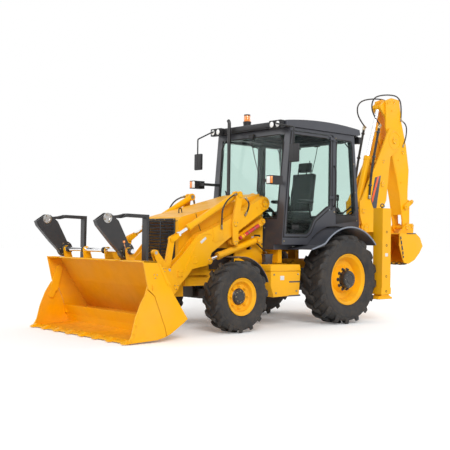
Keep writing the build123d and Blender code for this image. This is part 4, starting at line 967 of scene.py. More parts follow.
class LOADER_OT_glazing(bpy.types.Operator):
    """Model the door panes, the rubber seals, the handles and the wipers"""
    bl_idname = "loader.glazing"
    bl_label = "Add Glazing"

    def execute(self, context):
        for side, way in SIDES:
            self.door(side, way, f"door_{side}")
        seals = [tube(line + line[:2], 9, order=2) for line in (WINDSCREEN, REAR_WINDOW)]
        seals += [loop(way * 799, QUARTER, 9) for way in (-1, 1)]
        fitted("cab_window_seals", "seal", "chassis", *seals, both=False)
        for name, arm, blade, step in WIPERS:
            x, y, z = arm[0]
            motor = box((x - 55, x + 55), (y - 14, y + 14), (z - 30, z + 40), 8)
            stalk, holder = tube(arm, 6), bar(*blade, 7, 8)
            strip = bar(*((p[0], p[1] + step, p[2]) for p in blade), 4, 6)
            fitted(name, "plastic", "chassis", motor, stalk, holder, strip, both=False)
        return {"FINISHED"}

    @staticmethod
    def door(side, way, body):
        """The pane, seals, handle and grab rail of one door."""
        def points(*places):
            return [(way * x, y, z) for x, y, z in places]

        thick = sizes().pane * 1000
        pane = plate(inset(DOOR, DOOR_FRAME - 8), (776 * way, (776 + thick) * way), 1, 1)
        fitted(f"door_pane_{side}", "glass", body, pane, both=False)
        fitted(f"door_seal_{side}", "seal", body, loop(way * 797, inset(DOOR, DOOR_FRAME), 8), both=False)
        fitted(f"door_edge_seal_{side}", "seal", body, loop(way * 801, inset(DOOR, 5), 5), both=False)
        base = box(sorted((way * 800, way * 814)), (1150, 1290), (1405, 1465), 6)
        pull = tube(points((812, 1165, 1436), (836, 1180, 1436), (838, 1225, 1436), (836, 1262, 1436),
                           (812, 1276, 1436)), 8)
        fitted(f"door_handle_{side}", "plastic", body, base, pull, both=False)
        rail = tube(points((755, 1190, 1560), (725, 1196, 1580), (722, 1215, 1790), (725, 1228, 1990),
                           (755, 1230, 2010)), 11)
        fitted(f"door_grab_rail_{side}", "plastic", body, rail, both=False)


BEACON = (-330, 1290)
LENS = ((0, 45), (3, 45), (9, 36), (11, 20), (12, 0))
BEZEL = ((0, 54), (8, 54), (12, 50), (10, 45), (2, 45))
DOME = ((0, 56), (8, 57), (12, 53), (96, 50), (112, 42), (121, 26), (124, 0))
COLLAR = ((0, 64), (24, 64), (28, 58), (24, 52), (0, 52))


class LOADER_OT_lamps(bpy.types.Operator):
    """Model the lenses, bezels, mirror glasses and the beacon's dome"""
    bl_idname = "loader.lamps"
    bl_label = "Add Lamps"

    def execute(self, context):
        front, rear, rims = [], [], []
        for x in (600, 722):
            for lenses, place, way in ((front, at(x, 925, 2917), AHEAD), (rear, at(x, 2730, 2830), BACK)):
                lenses.append(turned(place, LENS, 32, way))
                rims.append(turned(place, BEZEL, 32, way))
        front.append(box((806, 872), (630, 642), (2040, 2140), 8, 3))
        rear.append(box((935, 1075), (2836, 2850), (1190, 1240), 5, 3))
        rims.append(box((798, 932), (636, 640), (2028, 2152), 4))
        rims.append(box((925, 1085), (2800, 2838), (1180, 1250), 6))
        fitted("work_lamp_lenses", "lens", "chassis", *front)
        fitted("indicator_lenses", "amber", "chassis", box((878, 926), (630, 642), (2040, 2140), 8, 3))
        fitted("lamp_bezels", "plastic", "chassis", *rims)
        fitted("tail_lamp_lenses", "red lens", "chassis", *rear)
        dome, collar = turned(at(*BEACON, 3084), DOME, 40, UP), turned(at(*BEACON, 3062), COLLAR, 40, UP)
        fitted("beacon_dome", "amber", "chassis", dome, both=False)
        fitted("beacon_collar", "plastic", "chassis", collar, both=False)
        fitted("mirror_glasses", "mirror", "chassis", box((995, 1140), (935, 938), (2362, 2588), 6))
        fitted("mirror_shells", "plastic", "chassis", box((982, 1153), (893, 934), (2345, 2605), 16, 4))
        fitted("cab_mirror", "plastic", "chassis", box((-110, 110), (1190, 1210), (2650, 2715), 8, 3),
               bar((0, 1195, 2710), (0, 1170, 2800), 7, 12), both=False)
        visor = box((-530, 530), (984, 1008), (2896, 2962), 5)
        fitted("roof_visor_band", "plastic", "chassis", visor, both=False)
        return {"FINISHED"}


# ------------------------------------------------------------------ nose, hood and fenders
# x, z of the grille frame's sides
GRILLE_SIDES = (((-330, -306), (880, 1520)), ((306, 330), (880, 1520)), ((-330, 330), (1496, 1520)),
                ((-330, 330), (880, 904)))
# the seam between the hood and the nose: centre (y, z) and radius of its curve
SEAM = (905, 1915, 1249)
FENDER_CENTRE = Vector((2100, 668))
CAB_BOLTS = ((1000, 1230), (2090, 2810), (2600, 1560), (2560, 2000), (2515, 2440), (2075, 1680))


class LOADER_OT_bodywork(bpy.types.Operator):
    """Model the grille, the seals, the fender lips and the small fittings of the body"""
    bl_idname = "loader.bodywork"
    bl_label = "Add Body Fittings"

    def execute(self, context):
        sides = [box(x, (-612, -598), z, 4) for x, z in GRILLE_SIDES]
        middle_bar = box((-8, 8), (-608, -598), (900, 1500), 2)
        fitted("grille_frame", "plastic", "chassis", *sides, middle_bar, both=False)
        wires = added(bpy.ops.mesh.primitive_grid_add, x_subdivisions=52, y_subdivisions=52, size=0.606,
                      location=at(0, -605, 1200), rotation=(radians(90), 0, 0))
        modify(wires, "WIREFRAME", thickness=0.0028, use_even_offset=False)
        fitted("grille_mesh", "black", "chassis", wires, both=False)
        places = [at(x, -612, z) for x in (-318, -106, 106, 318) for z in (892, 1508)]
        fitted("grille_screws", "bolt", "chassis", bolts(places, AHEAD, 16), both=False)
        grip = ((-335, 1602), (-340, 1655), (-320, 1672), (-290, 1668), (-282, 1608))
        handle = tube([(60, *point) for point in grip], 8)
        fitted("hood_handle", "plastic", "chassis", handle, both=False)

        y_middle, z_middle, radius = SEAM
        seam = [(y_middle - (radius ** 2 - (z - z_middle) ** 2) ** 0.5, z) for z in range(1125, 1600, 25)]
        line = [(394, *point) for point in seam] + [(x, -305, 1600) for x in (380, 0, -380)]
        line += [(-394, *point) for point in reversed(seam)]
        fitted("hood_seal", "seal", "chassis", tube(line, 5, order=2), both=False)
        vents = [box((394, 402), (y, y + 150), (z, z + 10), 2)
                 for y in (150, 330) for z in range(1330, 1530, 28)]
        fitted("hood_vents", "plastic", "hood", *vents)
        fitted("hood_latches", "black", "hood", box((394, 408), (-180, -140), (1190, 1260), 5),
               box((394, 408), (420, 460), (1230, 1290), 5))
        self.fenders()
        return {"FINISHED"}

    @staticmethod
    def fenders():
        """The rubber lips and arch seals of the rear fenders, and the fittings on the cab's sides."""
        def arc(x, radius, angles):
            turns = (radians(angle) for angle in angles)
            return [(x, *(FENDER_CENTRE + Vector((cos(turn), sin(turn))) * radius)) for turn in turns]

        lip = [*arc(1120, 782, range(42, 140, 4)), (1120, 1249, 1118)]
        fitted("fender_lips", "lip rubber", "chassis", tube(lip, 12))
        fitted("arch_seals", "seal", "chassis", tube(arc(804, 797, range(46, 134, 4)), 7))
        fitted("step_pads", "seal", "chassis",
               *(box((700, 1080), (y, y + 40), (1448, 1455), 3) for y in range(1900, 2200, 60)))
        fitted("sill_reflectors", "lens", "chassis", box((642, 648), (1330, 1430), (1128, 1156), 2))
        bolted("cab_bolts", "bolt", "chassis", 800, CAB_BOLTS, 22)
        rail = tube([(800, 2062, 1760), (836, 2064, 1772), (838, 2066, 1900), (838, 2066, 2240),
                     (836, 2064, 2368), (800, 2062, 2380)], 12)
        fitted("cab_grab_rails", "plastic", "chassis", rail)
        panel = plate(((2120, 1500), (2640, 1560), (2590, 1632), (2115, 1632)), (800, 804), 1.5)
        fitted("corner_panels", "plastic", "chassis", panel)


# ------------------------------------------------------------------ inside the cab
# how far a pad may swell and the size of its voxels, in metres
PAD_SWELL, PAD_VOXEL = 0.012, 0.012
CLOTH_PRESSURE, CLOTH_FRAMES = 4.0, 20
# piece: x, y, z, whether it leans back
PADS = (("seat_cushion", (-245, 245), (1735, 2190), (1575, 1685), False),
        ("seat_back", (-235, 235), (2135, 2225), (1700, 2330), True),
        ("seat_headrest", (-135, 135), (2140, 2215), (2345, 2500), True),
        ("armrest_left", (255, 325), (1810, 2150), (1825, 1880), False),
        ("armrest_right", (-325, -255), (1810, 2150), (1825, 1880), False))
LEAN_FOOT, LEAN_ANGLE = (0, 2135, 1700), -7.5
DIAL = ((0, 46), (6, 46), (6, 40), (2, 38), (2, 0))
KNOB = ((0, 14), (6, 22), (20, 26), (38, 24), (50, 12), (53, 0))
BOOT = ((0, 52), (10, 50), (16, 42), (26, 44), (32, 34), (44, 36), (50, 24), (64, 22), (70, 12))


class LOADER_OT_cab_inside(bpy.types.Operator):
    """Model the padded seat, the dash and its dials, and the levers' knobs"""
    bl_idname = "loader.cab_inside"
    bl_label = "Furnish Cab"

    def execute(self, context):
        cushion, *_ = [self.padded(*pad) for pad in PADS]
        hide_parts("seat")
        base = [
            box((-160, 160), (1820, 2140), (1151, 1420), 12),
            box((-190, 190), (1790, 2170), (1420, 1500), 14, 3),
            box((-245, 245), (1730, 2220), (1500, 1568), 14, 3),
            *(bar((x, 2200, 2280), (x, 2215, 2400), 8) for x in (-90, 90)),
            *(bar((x, 2120, 1600), (x, 2060, 1835), 14) for x in (-275, 275))]
        fitted("seat_base", "plastic", "chassis", *base, both=False)
        cover = plate(((1060, 1350), (1060, 1600), (1130, 1660), (1230, 1560), (1180, 1350)), (-330, 330),
                      14, 3)
        column = box((-60, 60), (1170, 1250), (1400, 1560), 16, 3)
        fitted("dash", "plastic", "chassis", cover, column, both=False)
        dials = [turned(at(x, 1190, 1617), DIAL, 28, (0, 0.707, 0.707)) for x in (-180, -65, 65, 180)]
        fitted("dash_dials", "blank plate", "chassis", *dials, both=False)
        levers = [(x, y) for x in (-495, 495) for y in (2400, 2500)]
        knobs = [turned(at(x, y, 1925), KNOB, 24, UP) for x, y in levers]
        fitted("lever_knobs", "seal", "chassis", *knobs, both=False)
        boots = [turned(at(x, y, 1700), BOOT, 28, UP) for x, y in levers]
        fitted("lever_boots", "hose", "chassis", *boots, both=False)
        mat = box((-560, 560), (1080, 1780), (1150, 1158), 3)
        fitted("floor_mat", "seal", "chassis", mat, both=False)
        return {"FINISHED"}

    @staticmethod
    def padded(name, x, y, z, leans):
        """A crowned cushion: a remeshed block blown up a little as cloth."""
        pad = box(x, y, z, 22, 3)
        pad.name = name
        modify(pad, "REMESH", mode="VOXEL", voxel_size=PAD_VOXEL)
        swell(pad)
        modify(pad, "SUBSURF", levels=1)
        if leans:
            foot = Matrix.Translation(at(*LEAN_FOOT))
            pad.data.transform(foot @ Matrix.Rotation(radians(LEAN_ANGLE), 4, "X") @ foot.inverted())
        done(smooth(pad, 60), "cloth", "chassis")
        return pad


def swell(pad):
    """Blow a cushion up as cloth, by no more than the swell of a pad."""
    before = [vertex.co.copy() for vertex in pad.data.vertices]
    only(pad)
    bpy.ops.object.modifier_add(type="CLOTH")
    cloth = pad.modifiers[-1]
    cloth.settings.use_pressure = True
    cloth.settings.uniform_pressure_force = CLOTH_PRESSURE
    cloth.settings.effector_weights.gravity = 0.0
    cloth.point_cache.frame_start, cloth.point_cache.frame_end = 1, CLOTH_FRAMES
    for step in range(1, CLOTH_FRAMES + 1):
        bpy.context.scene.frame_set(step)
    only(pad)
    bpy.ops.object.modifier_apply(modifier=cloth.name)
    bpy.context.scene.frame_set(1)
    for vertex, rest in zip(pad.data.vertices, before):
        moved = vertex.co - rest
        if moved.length > PAD_SWELL:
            vertex.co = rest + moved.normalized() * PAD_SWELL


# ------------------------------------------------------------------ loader linkage
# body: ((y, z), outer x, radius), all on both sides of the machine
PIN_CAPS = {
    "chassis": (((837, 1769), 575, 46), ((847, 1509), 535, 34), ((750, 1243), 555, 40)),
    "loader_arms": (((250, 1465), 601, 40), ((-178, 953), 559, 34)),
    "bell_cranks": (((260, 1205), 597, 30),),
    "tilt_pins": (((330, 1870), 603, 38),),
    "bucket_pins": (((-774, 618), 595, 40),),
    "loader_bucket": (((-968, 844), 590, 32), ((-1530, 800), 1165, 34)),
    "boom": (((3620, 1460), 163, 52), ((4070, 2239), 163, 44), ((4400, 3030), 163, 56),
             ((3560, 1760), 163, 44), ((4090, 2640), 155, 30)),
    "kingpost": (((3620, 1160), 100, 38),),
    "dipper": (((4690, 2850), 124, 34), ((4760, 1860), 148, 36), ((4420, 3720), 120, 28)),
    "digging_bucket": (((4800, 1500), 158, 50), ((4948, 1526), 158, 36)),
    "tipping_levers": (((4952, 1967), 146, 32),),
}


class LOADER_OT_pin_caps(bpy.types.Operator):
    """Model the retaining discs and their lock bolts on the pins"""
    bl_idname = "loader.pin_caps"
    bl_label = "Add Pin Caps"

    def execute(self, context):
        for body, caps in PIN_CAPS.items():
            discs, screws = [], []
            for (y, z), x, radius in caps:
                place = at(x - 1, y, z)
                discs.append(pin_cap(place, radius))
                screws += around(place + Vector((0.006, 0, 0)), 3, radius * 0.76, start=0.5)
            fitted(f"pin_caps_{body}", "yellow", body, *discs)
            fitted(f"pin_cap_screws_{body}", "bolt", body, placed(hexagon(11, 4), screws))
        return {"FINISHED"}


ARM_SIDE = 559
TOWER_SIDE = 421
PIVOT = (837, 1769)
ARM_BOLTS = [(-688 + y, 786 + z) for y in (-30, 30) for z in (-30, 30)]
FRAME_BOLTS = ((640, 1420), (640, 1640), (980, 1420), (930, 1180), (700, 1120), (930, 1600))
# the levelling strut: its front and rear eye (y, z), and its line's x
STRUT_FRONT, STRUT_REAR, STRUT_X = Vector((260, 1205)), Vector((847, 1509)), 555


class LOADER_OT_arm_details(bpy.types.Operator):
    """Model the welds, doubler plates, bolts and blank plates on the loader arms and the frame"""
    bl_idname = "loader.arm_details"
    bl_label = "Add Arm Details"

    def execute(self, context):
        foot, skin = ARM_SIDE - 1, ARM_SIDE + 1
        fitted("arm_doublers", "yellow", "loader_arms",
               plate(((-130, 1404), (41, 1414), (63, 1235), (-108, 1206)), (foot, ARM_SIDE + 4), 2),
               plate(((-733, 741), (-643, 741), (-643, 831), (-733, 831)), (foot, ARM_SIDE + 7), 3),
               turned(at(foot, *PIVOT), ((0, 96), (7, 96), (10, 90), (10, 60), (0, 60)), 48))
        round_patch = ((-133, 1408), (45, 1418), (67, 1233), (-110, 1202), (-133, 1408))
        fitted("arm_welds", "yellow", "loader_arms",
               ring(at(ARM_SIDE, -437, 963), 45, 5),
               ring(at(ARM_SIDE, 250, 1465), 62, 5),
               tube([(skin, -605, 819), (skin, -408, 1231), (skin, -270, 1340), (skin, -146, 1301)], 4),
               tube([(skin, *point) for point in round_patch], 4, order=2))
        places = [at(ARM_SIDE + 6, y, z) for y, z in ARM_BOLTS]
        places += [at(ARM_SIDE, -3, 1344), at(ARM_SIDE, -127, 1233), at(ARM_SIDE, 690, 1700)]
        fitted("arm_bolts", "yellow", "loader_arms", bolts(places, across=20),
               placed(hexagon(22), around(at(ARM_SIDE + 9, *PIVOT), 8, 76)))
        blank = plate(((-330, 1180), (-240, 1250), (-262, 1278), (-352, 1208)), (foot, ARM_SIDE + 2), 1)
        fitted("arm_blank_plates", "blank plate", "loader_arms", blank)
        fitted("tower_plates", "blank plate", "chassis",
               plate(((716, 1255), (770, 1255), (770, 1295), (716, 1295)), (420, 423.5), 1),
               plate(((-334, 650), (-276, 650), (-276, 700), (-334, 700)), (299, 302.5), 1))
        # dark plates painted as the shade in the openings of the tower and the frame
        fitted("tower_openings", "seal", "chassis",
               plate(((768, 1233), (890, 1233), (890, 1319), (768, 1319)), (419, 422.5), 1),
               turned(at(299, -187, 681), ((0, 26), (3, 26), (3, 0)), 28))
        bolted("frame_bolts", "bolt", "chassis", TOWER_SIDE, FRAME_BOLTS, 26)
        self.strut()
        return {"FINISHED"}

    @staticmethod
    def strut():
        """Collars and clamps on the levelling strut."""
        line = (STRUT_REAR - STRUT_FRONT).normalized()

        def sleeve(distance, profile):
            return turned(at(STRUT_X, *(STRUT_FRONT + line * distance)), profile, 32, (0, line.x, line.y))

        collars = []
        for distance, radius, long in ((150, 31, 46), (212, 29, 12), (525, 30, 30)):
            collars.append(sleeve(distance, ((0, 26), (0, radius), (3, radius + 2), (long - 3, radius + 2),
                                             (long, radius), (long, 26))))
        fitted("strut_collars", "yellow", "level_links", *collars)
        bands = [sleeve(distance, ((0, 26), (0, 29), (14, 29), (14, 26))) for distance in (290, 420)]
        fitted("strut_clamps", "bolt", "level_links", *bands)


# ------------------------------------------------------------------ hoses
def boom_run(x, y):
    """A hose up the side of the boom, from its y at the foot."""
    return (x, y, 1990), (x, y + 40, 2420), (x, y + 188, 3000), (x, y + 250, 3240)


def swing_run(way):
    """A hose from the kingpost to the boom."""
    places = ((60, 3150, 1500), (62, 3200, 1640), (60, 3320, 1740), (90, 3450, 1780), (118, 3560, 1840))
    return tuple((way * x, y, z) for x, y, z in places)


THIN, THICK = 11, 12
# name, points, bodies, radius, both sides
HOSES = (
    ("lift_hose", ((508, 470, 1172), (508, 560, 1214), (508, 640, 1232), (500, 760, 1190), (486, 860, 1120),
                   (474, 960, 1062)), ("lift_barrels", "chassis"), THIN, True),
    ("tilt_hose_front", ((590, 252, 1874), (612, 170, 1850), (614, 60, 1770), (614, -15, 1650),
                         (606, -10, 1530), (574, 15, 1405)), ("bell_cranks", "loader_arms"), THIN, True),
    ("tilt_hose_rear", ((590, 451, 1819), (612, 480, 1775), (614, 482, 1721), (608, 470, 1660),
                        (576, 455, 1600)), ("bell_cranks", "loader_arms"), THIN, True),
    ("boom_hose_1", boom_run(168, 3712), ("boom",), THICK, False),
    ("boom_hose_2", boom_run(168, 3684), ("boom",), THICK, False),
    ("boom_hose_3", boom_run(-168, 3684), ("boom",), THICK, False),
    ("boom_hose_4", boom_run(-168, 3712), ("boom",), THICK, False),
    ("head_hose_1", ((168, 3975, 3262), (172, 3790, 3400), (170, 3720, 3566), (166, 3790, 3710),
                     (158, 3960, 3780), (146, 4250, 3830), (128, 4520, 3836), (124, 4640, 3700),
                     (122, 4620, 3420)), ("boom", "dipper"), THICK, False),
    ("head_hose_2", ((-168, 3975, 3262), (-172, 3805, 3390), (-170, 3745, 3560), (-166, 3815, 3680),
                     (-158, 3980, 3750), (-146, 4250, 3795), (-128, 4500, 3800), (-124, 4610, 3680),
                     (-122, 4600, 3420)), ("boom", "dipper"), THICK, False),
    ("crowd_hose_1", ((124, 4639, 3414), (124, 4740, 3385), (124, 4800, 3285), (124, 4765, 3086),
                      (124, 4690, 2960)), ("dipper",), THIN, False),
    ("crowd_hose_2", ((-124, 4639, 3414), (-124, 4730, 3375), (-124, 4780, 3275), (-124, 4750, 3090),
                      (-124, 4690, 2960)), ("dipper",), THIN, False),
    ("swing_hose_1", swing_run(1), ("kingpost", "boom"), THICK, False),
    ("swing_hose_2", swing_run(-1), ("kingpost", "boom"), THICK, False),
)
HOSE_CLAMPS = ((3731, 2200), (3824, 2700), (3935, 3140))


class LOADER_OT_hoses(bpy.types.Operator):
    """Model the hoses of the loader and the backhoe, and the clamps on the boom"""
    bl_idname = "loader.hoses"
    bl_label = "Add Hoses"

    def execute(self, context):
        for run in HOSES:
            hose(*run)
        clamps = [box((154, 184), (y - 48, y + 20), (z - 16, z + 16), 4) for y, z in HOSE_CLAMPS]
        fitted("boom_hose_clamps", "black", "boom", *clamps)
        return {"FINISHED"}


# ------------------------------------------------------------------ backhoe, rear frame and side boxes
BOOM_SIDE, DIPPER_SIDE, DIGGER_SIDE, LEG_SIDE = 155, 120, 295, 1164
DIPPER_BOLTS = ((4240, 3690), (4300, 3720), (4360, 3560), (4480, 3100), (4560, 2700), (4640, 2300))
DIGGER_BOLTS = ((4430, 1270), (4450, 1180), (4475, 1080), (4500, 1000))
TOOTH = ((4640, 838), (4640, 880), (4560, 868), (4466, 836), (4466, 830), (4560, 828))


class LOADER_OT_backhoe_details(bpy.types.Operator):
    """Model the boom's panels and stripes, the welds, the bucket's teeth caps and the rear fittings"""
    bl_idname = "loader.backhoe_details"
    bl_label = "Add Backhoe Details"

    def execute(self, context):
        panel = plate(((3862, 2345), (4023, 2389), (3884, 1690), (3755, 1948)), (154, 157), 1)
        fitted("boom_side_panels", "charcoal", "boom", panel)
        stripe = plate(((3772, 1968), (3802, 1900), (3978, 2372), (3926, 2359)), (156, 158.5), 0.6)
        fitted("boom_stripes", "flame stripe", "boom", stripe)
        seam = [(BOOM_SIDE, 3965, 2690), (BOOM_SIDE, 4111, 2968), (BOOM_SIDE, 4209, 3164)]
        fitted("boom_welds", "yellow", "boom", ring(at(BOOM_SIDE, 4400, 3030), 158, 5),
               ring(at(BOOM_SIDE, 3620, 1460), 90, 5), tube(seam, 4, order=2))
        seam = [(DIPPER_SIDE, 4410, 2780), (DIPPER_SIDE, 4522, 2400), (DIPPER_SIDE, 4634, 2010)]
        fitted("dipper_welds", "yellow", "dipper", ring(at(DIPPER_SIDE, 4800, 1500), 76, 4),
               tube(seam, 4, order=2))
        bolted("dipper_bolts", "yellow", "dipper", DIPPER_SIDE, DIPPER_BOLTS, 22)
        self.bucket()
        self.rear()
        return {"FINISHED"}

    @staticmethod
    def bucket():
        """Teeth caps, wear strips and bolts on the digging bucket."""
        caps = [plate(TOOTH, (x - 34, x + 34), 4) for x in range(-240, 241, 120)]
        fitted("digging_teeth", "black", "digging_bucket", *caps, both=False)
        fitted("digging_wear_strips", "black", "digging_bucket",
               plate(((4404, 1330), (4440, 1330), (4530, 960), (4495, 945)), (289, 295), 2),
               plate(((4600, 1375), (4860, 1378), (4860, 1396), (4600, 1392)), (289, 296), 2))
        bolted("digging_bolts", "yellow", "digging_bucket", DIGGER_SIDE, DIGGER_BOLTS, 24)

    @staticmethod
    def rear():
        """Blank plates, pin holes, hooks, clamps and bolts on the rear frame and its stabilisers."""
        fitted("rear_blank_plates", "blank plate", "chassis",
               box((680, 760), (2668, 2671), (600, 640), 1),
               box((700, 800), (2668, 2671), (1080, 1130), 1),
               box((LEG_SIDE, LEG_SIDE + 3), (2860, 2930), (1010, 1060), 1),
               box((1020, 1130), (3000, 3003), (1180, 1240), 1))
        washer = ((0, 20), (3, 20), (3, 13), (0, 13))
        holes = [turned(at(LEG_SIDE, 2895, z), washer, 28) for z in (470, 700, 1183, 1390)]
        fitted("leg_holes", "seal", "chassis", *holes)
        eye = ((2850, 1780), (2850, 1815), (2895, 1835), (2940, 1815), (2940, 1780))
        fitted("leg_hooks", "black", "chassis", box((1060, 1090), (2880, 2910), (1758, 1790), 5),
               tube([(1075, *point) for point in eye], 9))
        places = [at(x, 2985, z) for x in (840, 900, 960) for z in (1300, 500)]
        fitted("rail_bolts", "bolt", "chassis", bolts(places, BACK, 26))
        clamps = [box((150, 210), (3110, 3140), (z - 45, z + 45), 8) for z in (450, 1300)]
        fitted("carriage_clamps", "yellow", "side_shift_carriage", *clamps)
        places = [at(180, 3140, z) for z in (425, 475, 1275, 1325)]
        fitted("clamp_bolts", "bolt", "side_shift_carriage", bolts(places, BACK, 24))
        pads = joined("foot_pads", [box((905, 1160), (2726, 3054), (346, 352), 3)])
        right = other_side(pads, "foot_pads_right")
        done(pads, "seal", "stabiliser_left")
        done(right, "seal", "stabiliser_right")


TANK = ((640, 806), (1236, 800), (1205, 446), (977, 452), (700, 442), (640, 600))
LID = ((628, 806), (628, 884), (660, 898), (1205, 898), (1222, 884), (1228, 826), (1238, 806))
POST = ((777, 1040), (955, 1040), (935, 1012), (930, 895), (800, 895), (795, 1012))
CAP = ((0, 46), (10, 46), (14, 42), (24, 40), (30, 34), (30, 0))
TANK_SIDE = 914
TANK_BOLTS = ((700, 760), (1180, 760), (1150, 520), (740, 500))


class LOADER_OT_side_boxes(bpy.types.Operator):
    """Model the fuel tank and battery box with their steps and mounts"""
    bl_idname = "loader.side_boxes"
    bl_label = "Add Side Boxes"

    def execute(self, context):
        tanks = fitted("side_tanks", "yellow", "chassis", plate(TANK, (486, TANK_SIDE), 7),
                       plate(LID, (482, 919), 5))
        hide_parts("side_boxes")
        fitted("side_steps", "charcoal", "chassis", box((700, 918), (1000, 1236), (640, 662), 6),
               box((640, 915), (990, 1238), (442, 466), 6), plate(POST, (560, 640), 5))
        grips = [box((x, x + 16), (1010, 1226), (661, 667), 2) for x in range(720, 920, 40)]
        fitted("step_grips", "bolt", "chassis", *grips)
        arms = [box((396, 490), (y, y + 60), (650, 720), 5) for y in (700, 1150)]
        fitted("tank_mounts", "charcoal", "chassis", *arms)
        fitted("tank_cap", "plastic", "chassis", turned(at(700, 720, 896), CAP, 32, UP), both=False)
        bolted("tank_bolts", "bolt", "chassis", TANK_SIDE, TANK_BOLTS, 24)
        mark = plate(((820, 680), (900, 680), (900, 740), (820, 740)), (TANK_SIDE, TANK_SIDE + 3), 1)
        fitted("tank_blank_plates", "blank plate", "chassis", mark)
        return {"FINISHED"}


# ------------------------------------------------------------------ front bucket and forks
OUT = HALF_WIDTH * 1000
BOTH_PLATES = ((OUT - 2, OUT + 6), (-OUT - 6, -OUT + 2))
RIM = ((-1700, 962), (-1700, 977), (-1500, 973), (-1508, 956))
STRAP = ((-1500, 960), (-1452, 935), (-1300, 690), (-1340, 668))
HEEL = ((-1350, 62), (-1282, 84), (-1080, 212), (-1096, 232), (-1290, 106), (-1352, 82))
JAW_EDGE = ((-1905, 12), (-1905, 30), (-1760, 38), (-1760, 20))
CUTTER = ((-1903, 20), (-1848, 120), (-1800, 305), (-1765, 300), (-1810, 112), (-1860, 22))
JAW_SIDE_BOLTS = ((-1830, 130), (-1800, 230), (-1872, 50))
HANDLE = ((-1, -1560, 690), (10, -1566, 690), (12, -1570, 660), (10, -1566, 630), (-1, -1560, 630))
FORK_RING = ((0, 62), (5, 62), (7, 58), (7, 30), (4, 26), (4, 0))
FORK_HUB = ((0, 60), (8, 60), (12, 54), (12, 30), (0, 30))
SHAFT_COLLAR = ((0, 28), (0, 40), (3, 42), (27, 42), (30, 40), (30, 28))
LATCH_KNOB = ((0, 4), (4, 12), (16, 16), (28, 12), (34, 0))


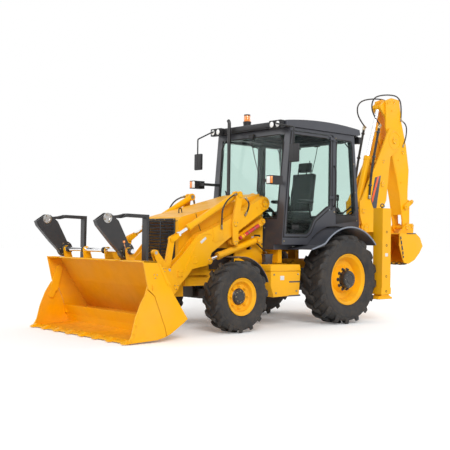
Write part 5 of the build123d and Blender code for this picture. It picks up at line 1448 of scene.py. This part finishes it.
class LOADER_OT_bucket_details(bpy.types.Operator):
    """Model the bucket's edges, wear straps and bolts, and the forks' rings and bolts"""
    bl_idname = "loader.bucket_details"
    bl_label = "Add Bucket Details"

    def execute(self, context):
        edging = [plate(RIM, x, 2) for x in ((-OUT, -960), (-840, 540), (660, OUT))]
        edging += [plate(STRAP, x, 2) for x in BOTH_PLATES]
        fitted("bucket_edges", "yellow", "loader_bucket", *edging, both=False)
        heels = [plate(HEEL, (x - 30, x + 30), 3) for x in range(-900, 901, 450)]
        fitted("bucket_wear_straps", "yellow", "loader_bucket", *heels, both=False)
        corners = [box(x, (-1420, -1360), (180, 240), 4)
                   for x in ((OUT - 60, OUT - 20), (20 - OUT, 60 - OUT))]
        fitted("bucket_corner_straps", "yellow", "loader_bucket", *corners, both=False)
        lip = [plate(JAW_EDGE, (-OUT + 4, OUT - 4), 2), *(plate(CUTTER, x, 2) for x in BOTH_PLATES)]
        fitted("jaw_wear_edges", "yellow", "bucket_jaw", *lip, both=False)
        places = [at(x, -1820, 36) for x in range(-975, 1000, 150)]
        fitted("jaw_edge_bolts", "yellow", "bucket_jaw", bolts(places, (0, 0.05, 1), 26), both=False)
        bolted("jaw_side_bolts", "yellow", "bucket_jaw", OUT + 5, JAW_SIDE_BOLTS, 24)
        handle = tube([(OUT + out, y, z) for out, y, z in HANDLE], 6)
        fitted("bucket_handles", "yellow", "loader_bucket", handle)
        self.forks()
        return {"FINISHED"}

    @staticmethod
    def forks():
        """Rings, hubs and bolts on the fork arms, collars on their shaft and the latch's knob."""
        rings, heads, hubs = [], [], []
        for x in (-900, 600):
            for way in (-1, 1):
                side = (way, 0, 0)
                centre, hub = at(x + way * 34, -1870, 1490), at(x + way * 34, -1580, 1085)
                rings.append(turned(centre, FORK_RING, 36, side))
                heads += around(centre + Vector(side) * 0.006, 4, 46, side, 0.4)
                hubs.append(turned(hub, FORK_HUB, 36, side))
                heads += around(hub + Vector(side) * 0.001, 6, 82, side)
        fitted("fork_rings", "pin", "fork_arms", *rings, both=False)
        fitted("fork_hubs", "black", "fork_arms", *hubs, both=False)
        fitted("fork_bolts", "bolt", "fork_arms", placed(hexagon(18, 7), heads), both=False)
        collars = [turned(at(x, -1580, 1085), SHAFT_COLLAR, 32) for x in (-800, -400, 100, 480, 700)]
        fitted("shaft_collars", "black", "loader_bucket", *collars, both=False)
        wire = tube([(740, -1600, 1010), (742, -1650, 1060), (742, -1690, 1150), (742, -1700, 1190)], 3)
        knob = turned(at(742, -1700, 1185), LATCH_KNOB, 20, UP)
        fitted("latch_knob", "amber", "loader_bucket", wire, knob, both=False)


OPERATORS = (LOADER_OT_stage, LOADER_OT_paint, LOADER_OT_tyres, LOADER_OT_hubs, LOADER_OT_glazing,
             LOADER_OT_lamps, LOADER_OT_bodywork, LOADER_OT_cab_inside, LOADER_OT_pin_caps,
             LOADER_OT_arm_details, LOADER_OT_hoses, LOADER_OT_backhoe_details, LOADER_OT_side_boxes,
             LOADER_OT_bucket_details)


class LOADER_PT_panel(bpy.types.Panel):
    """The loader's pieces, in the order in which they are made"""
    bl_idname = "LOADER_PT_panel"
    bl_label = "Backhoe Loader"
    bl_space_type = "VIEW_3D"
    bl_region_type = "UI"
    bl_category = "Loader"

    def draw(self, context):
        for group_name in ("loader_colours", "loader_sizes"):
            given = getattr(context.scene, group_name)
            for key in type(given).__annotations__:
                self.layout.prop(given, key)
        for operator in OPERATORS:
            self.layout.operator(operator.bl_idname)


CLASSES = (LoaderColours, LoaderSizes, *OPERATORS, LOADER_PT_panel)


def register():
    for item in CLASSES:
        bpy.utils.register_class(item)
    bpy.types.Scene.loader_colours = bpy.props.PointerProperty(type=LoaderColours)
    bpy.types.Scene.loader_sizes = bpy.props.PointerProperty(type=LoaderSizes)


def unregister():
    del bpy.types.Scene.loader_sizes
    del bpy.types.Scene.loader_colours
    for item in reversed(CLASSES):
        bpy.utils.unregister_class(item)


def main():
    register()
    for operator in OPERATORS:
        group_name, call = operator.bl_idname.split(".")
        getattr(getattr(bpy.ops, group_name), call)()


if __name__ == "__main__":
    main()
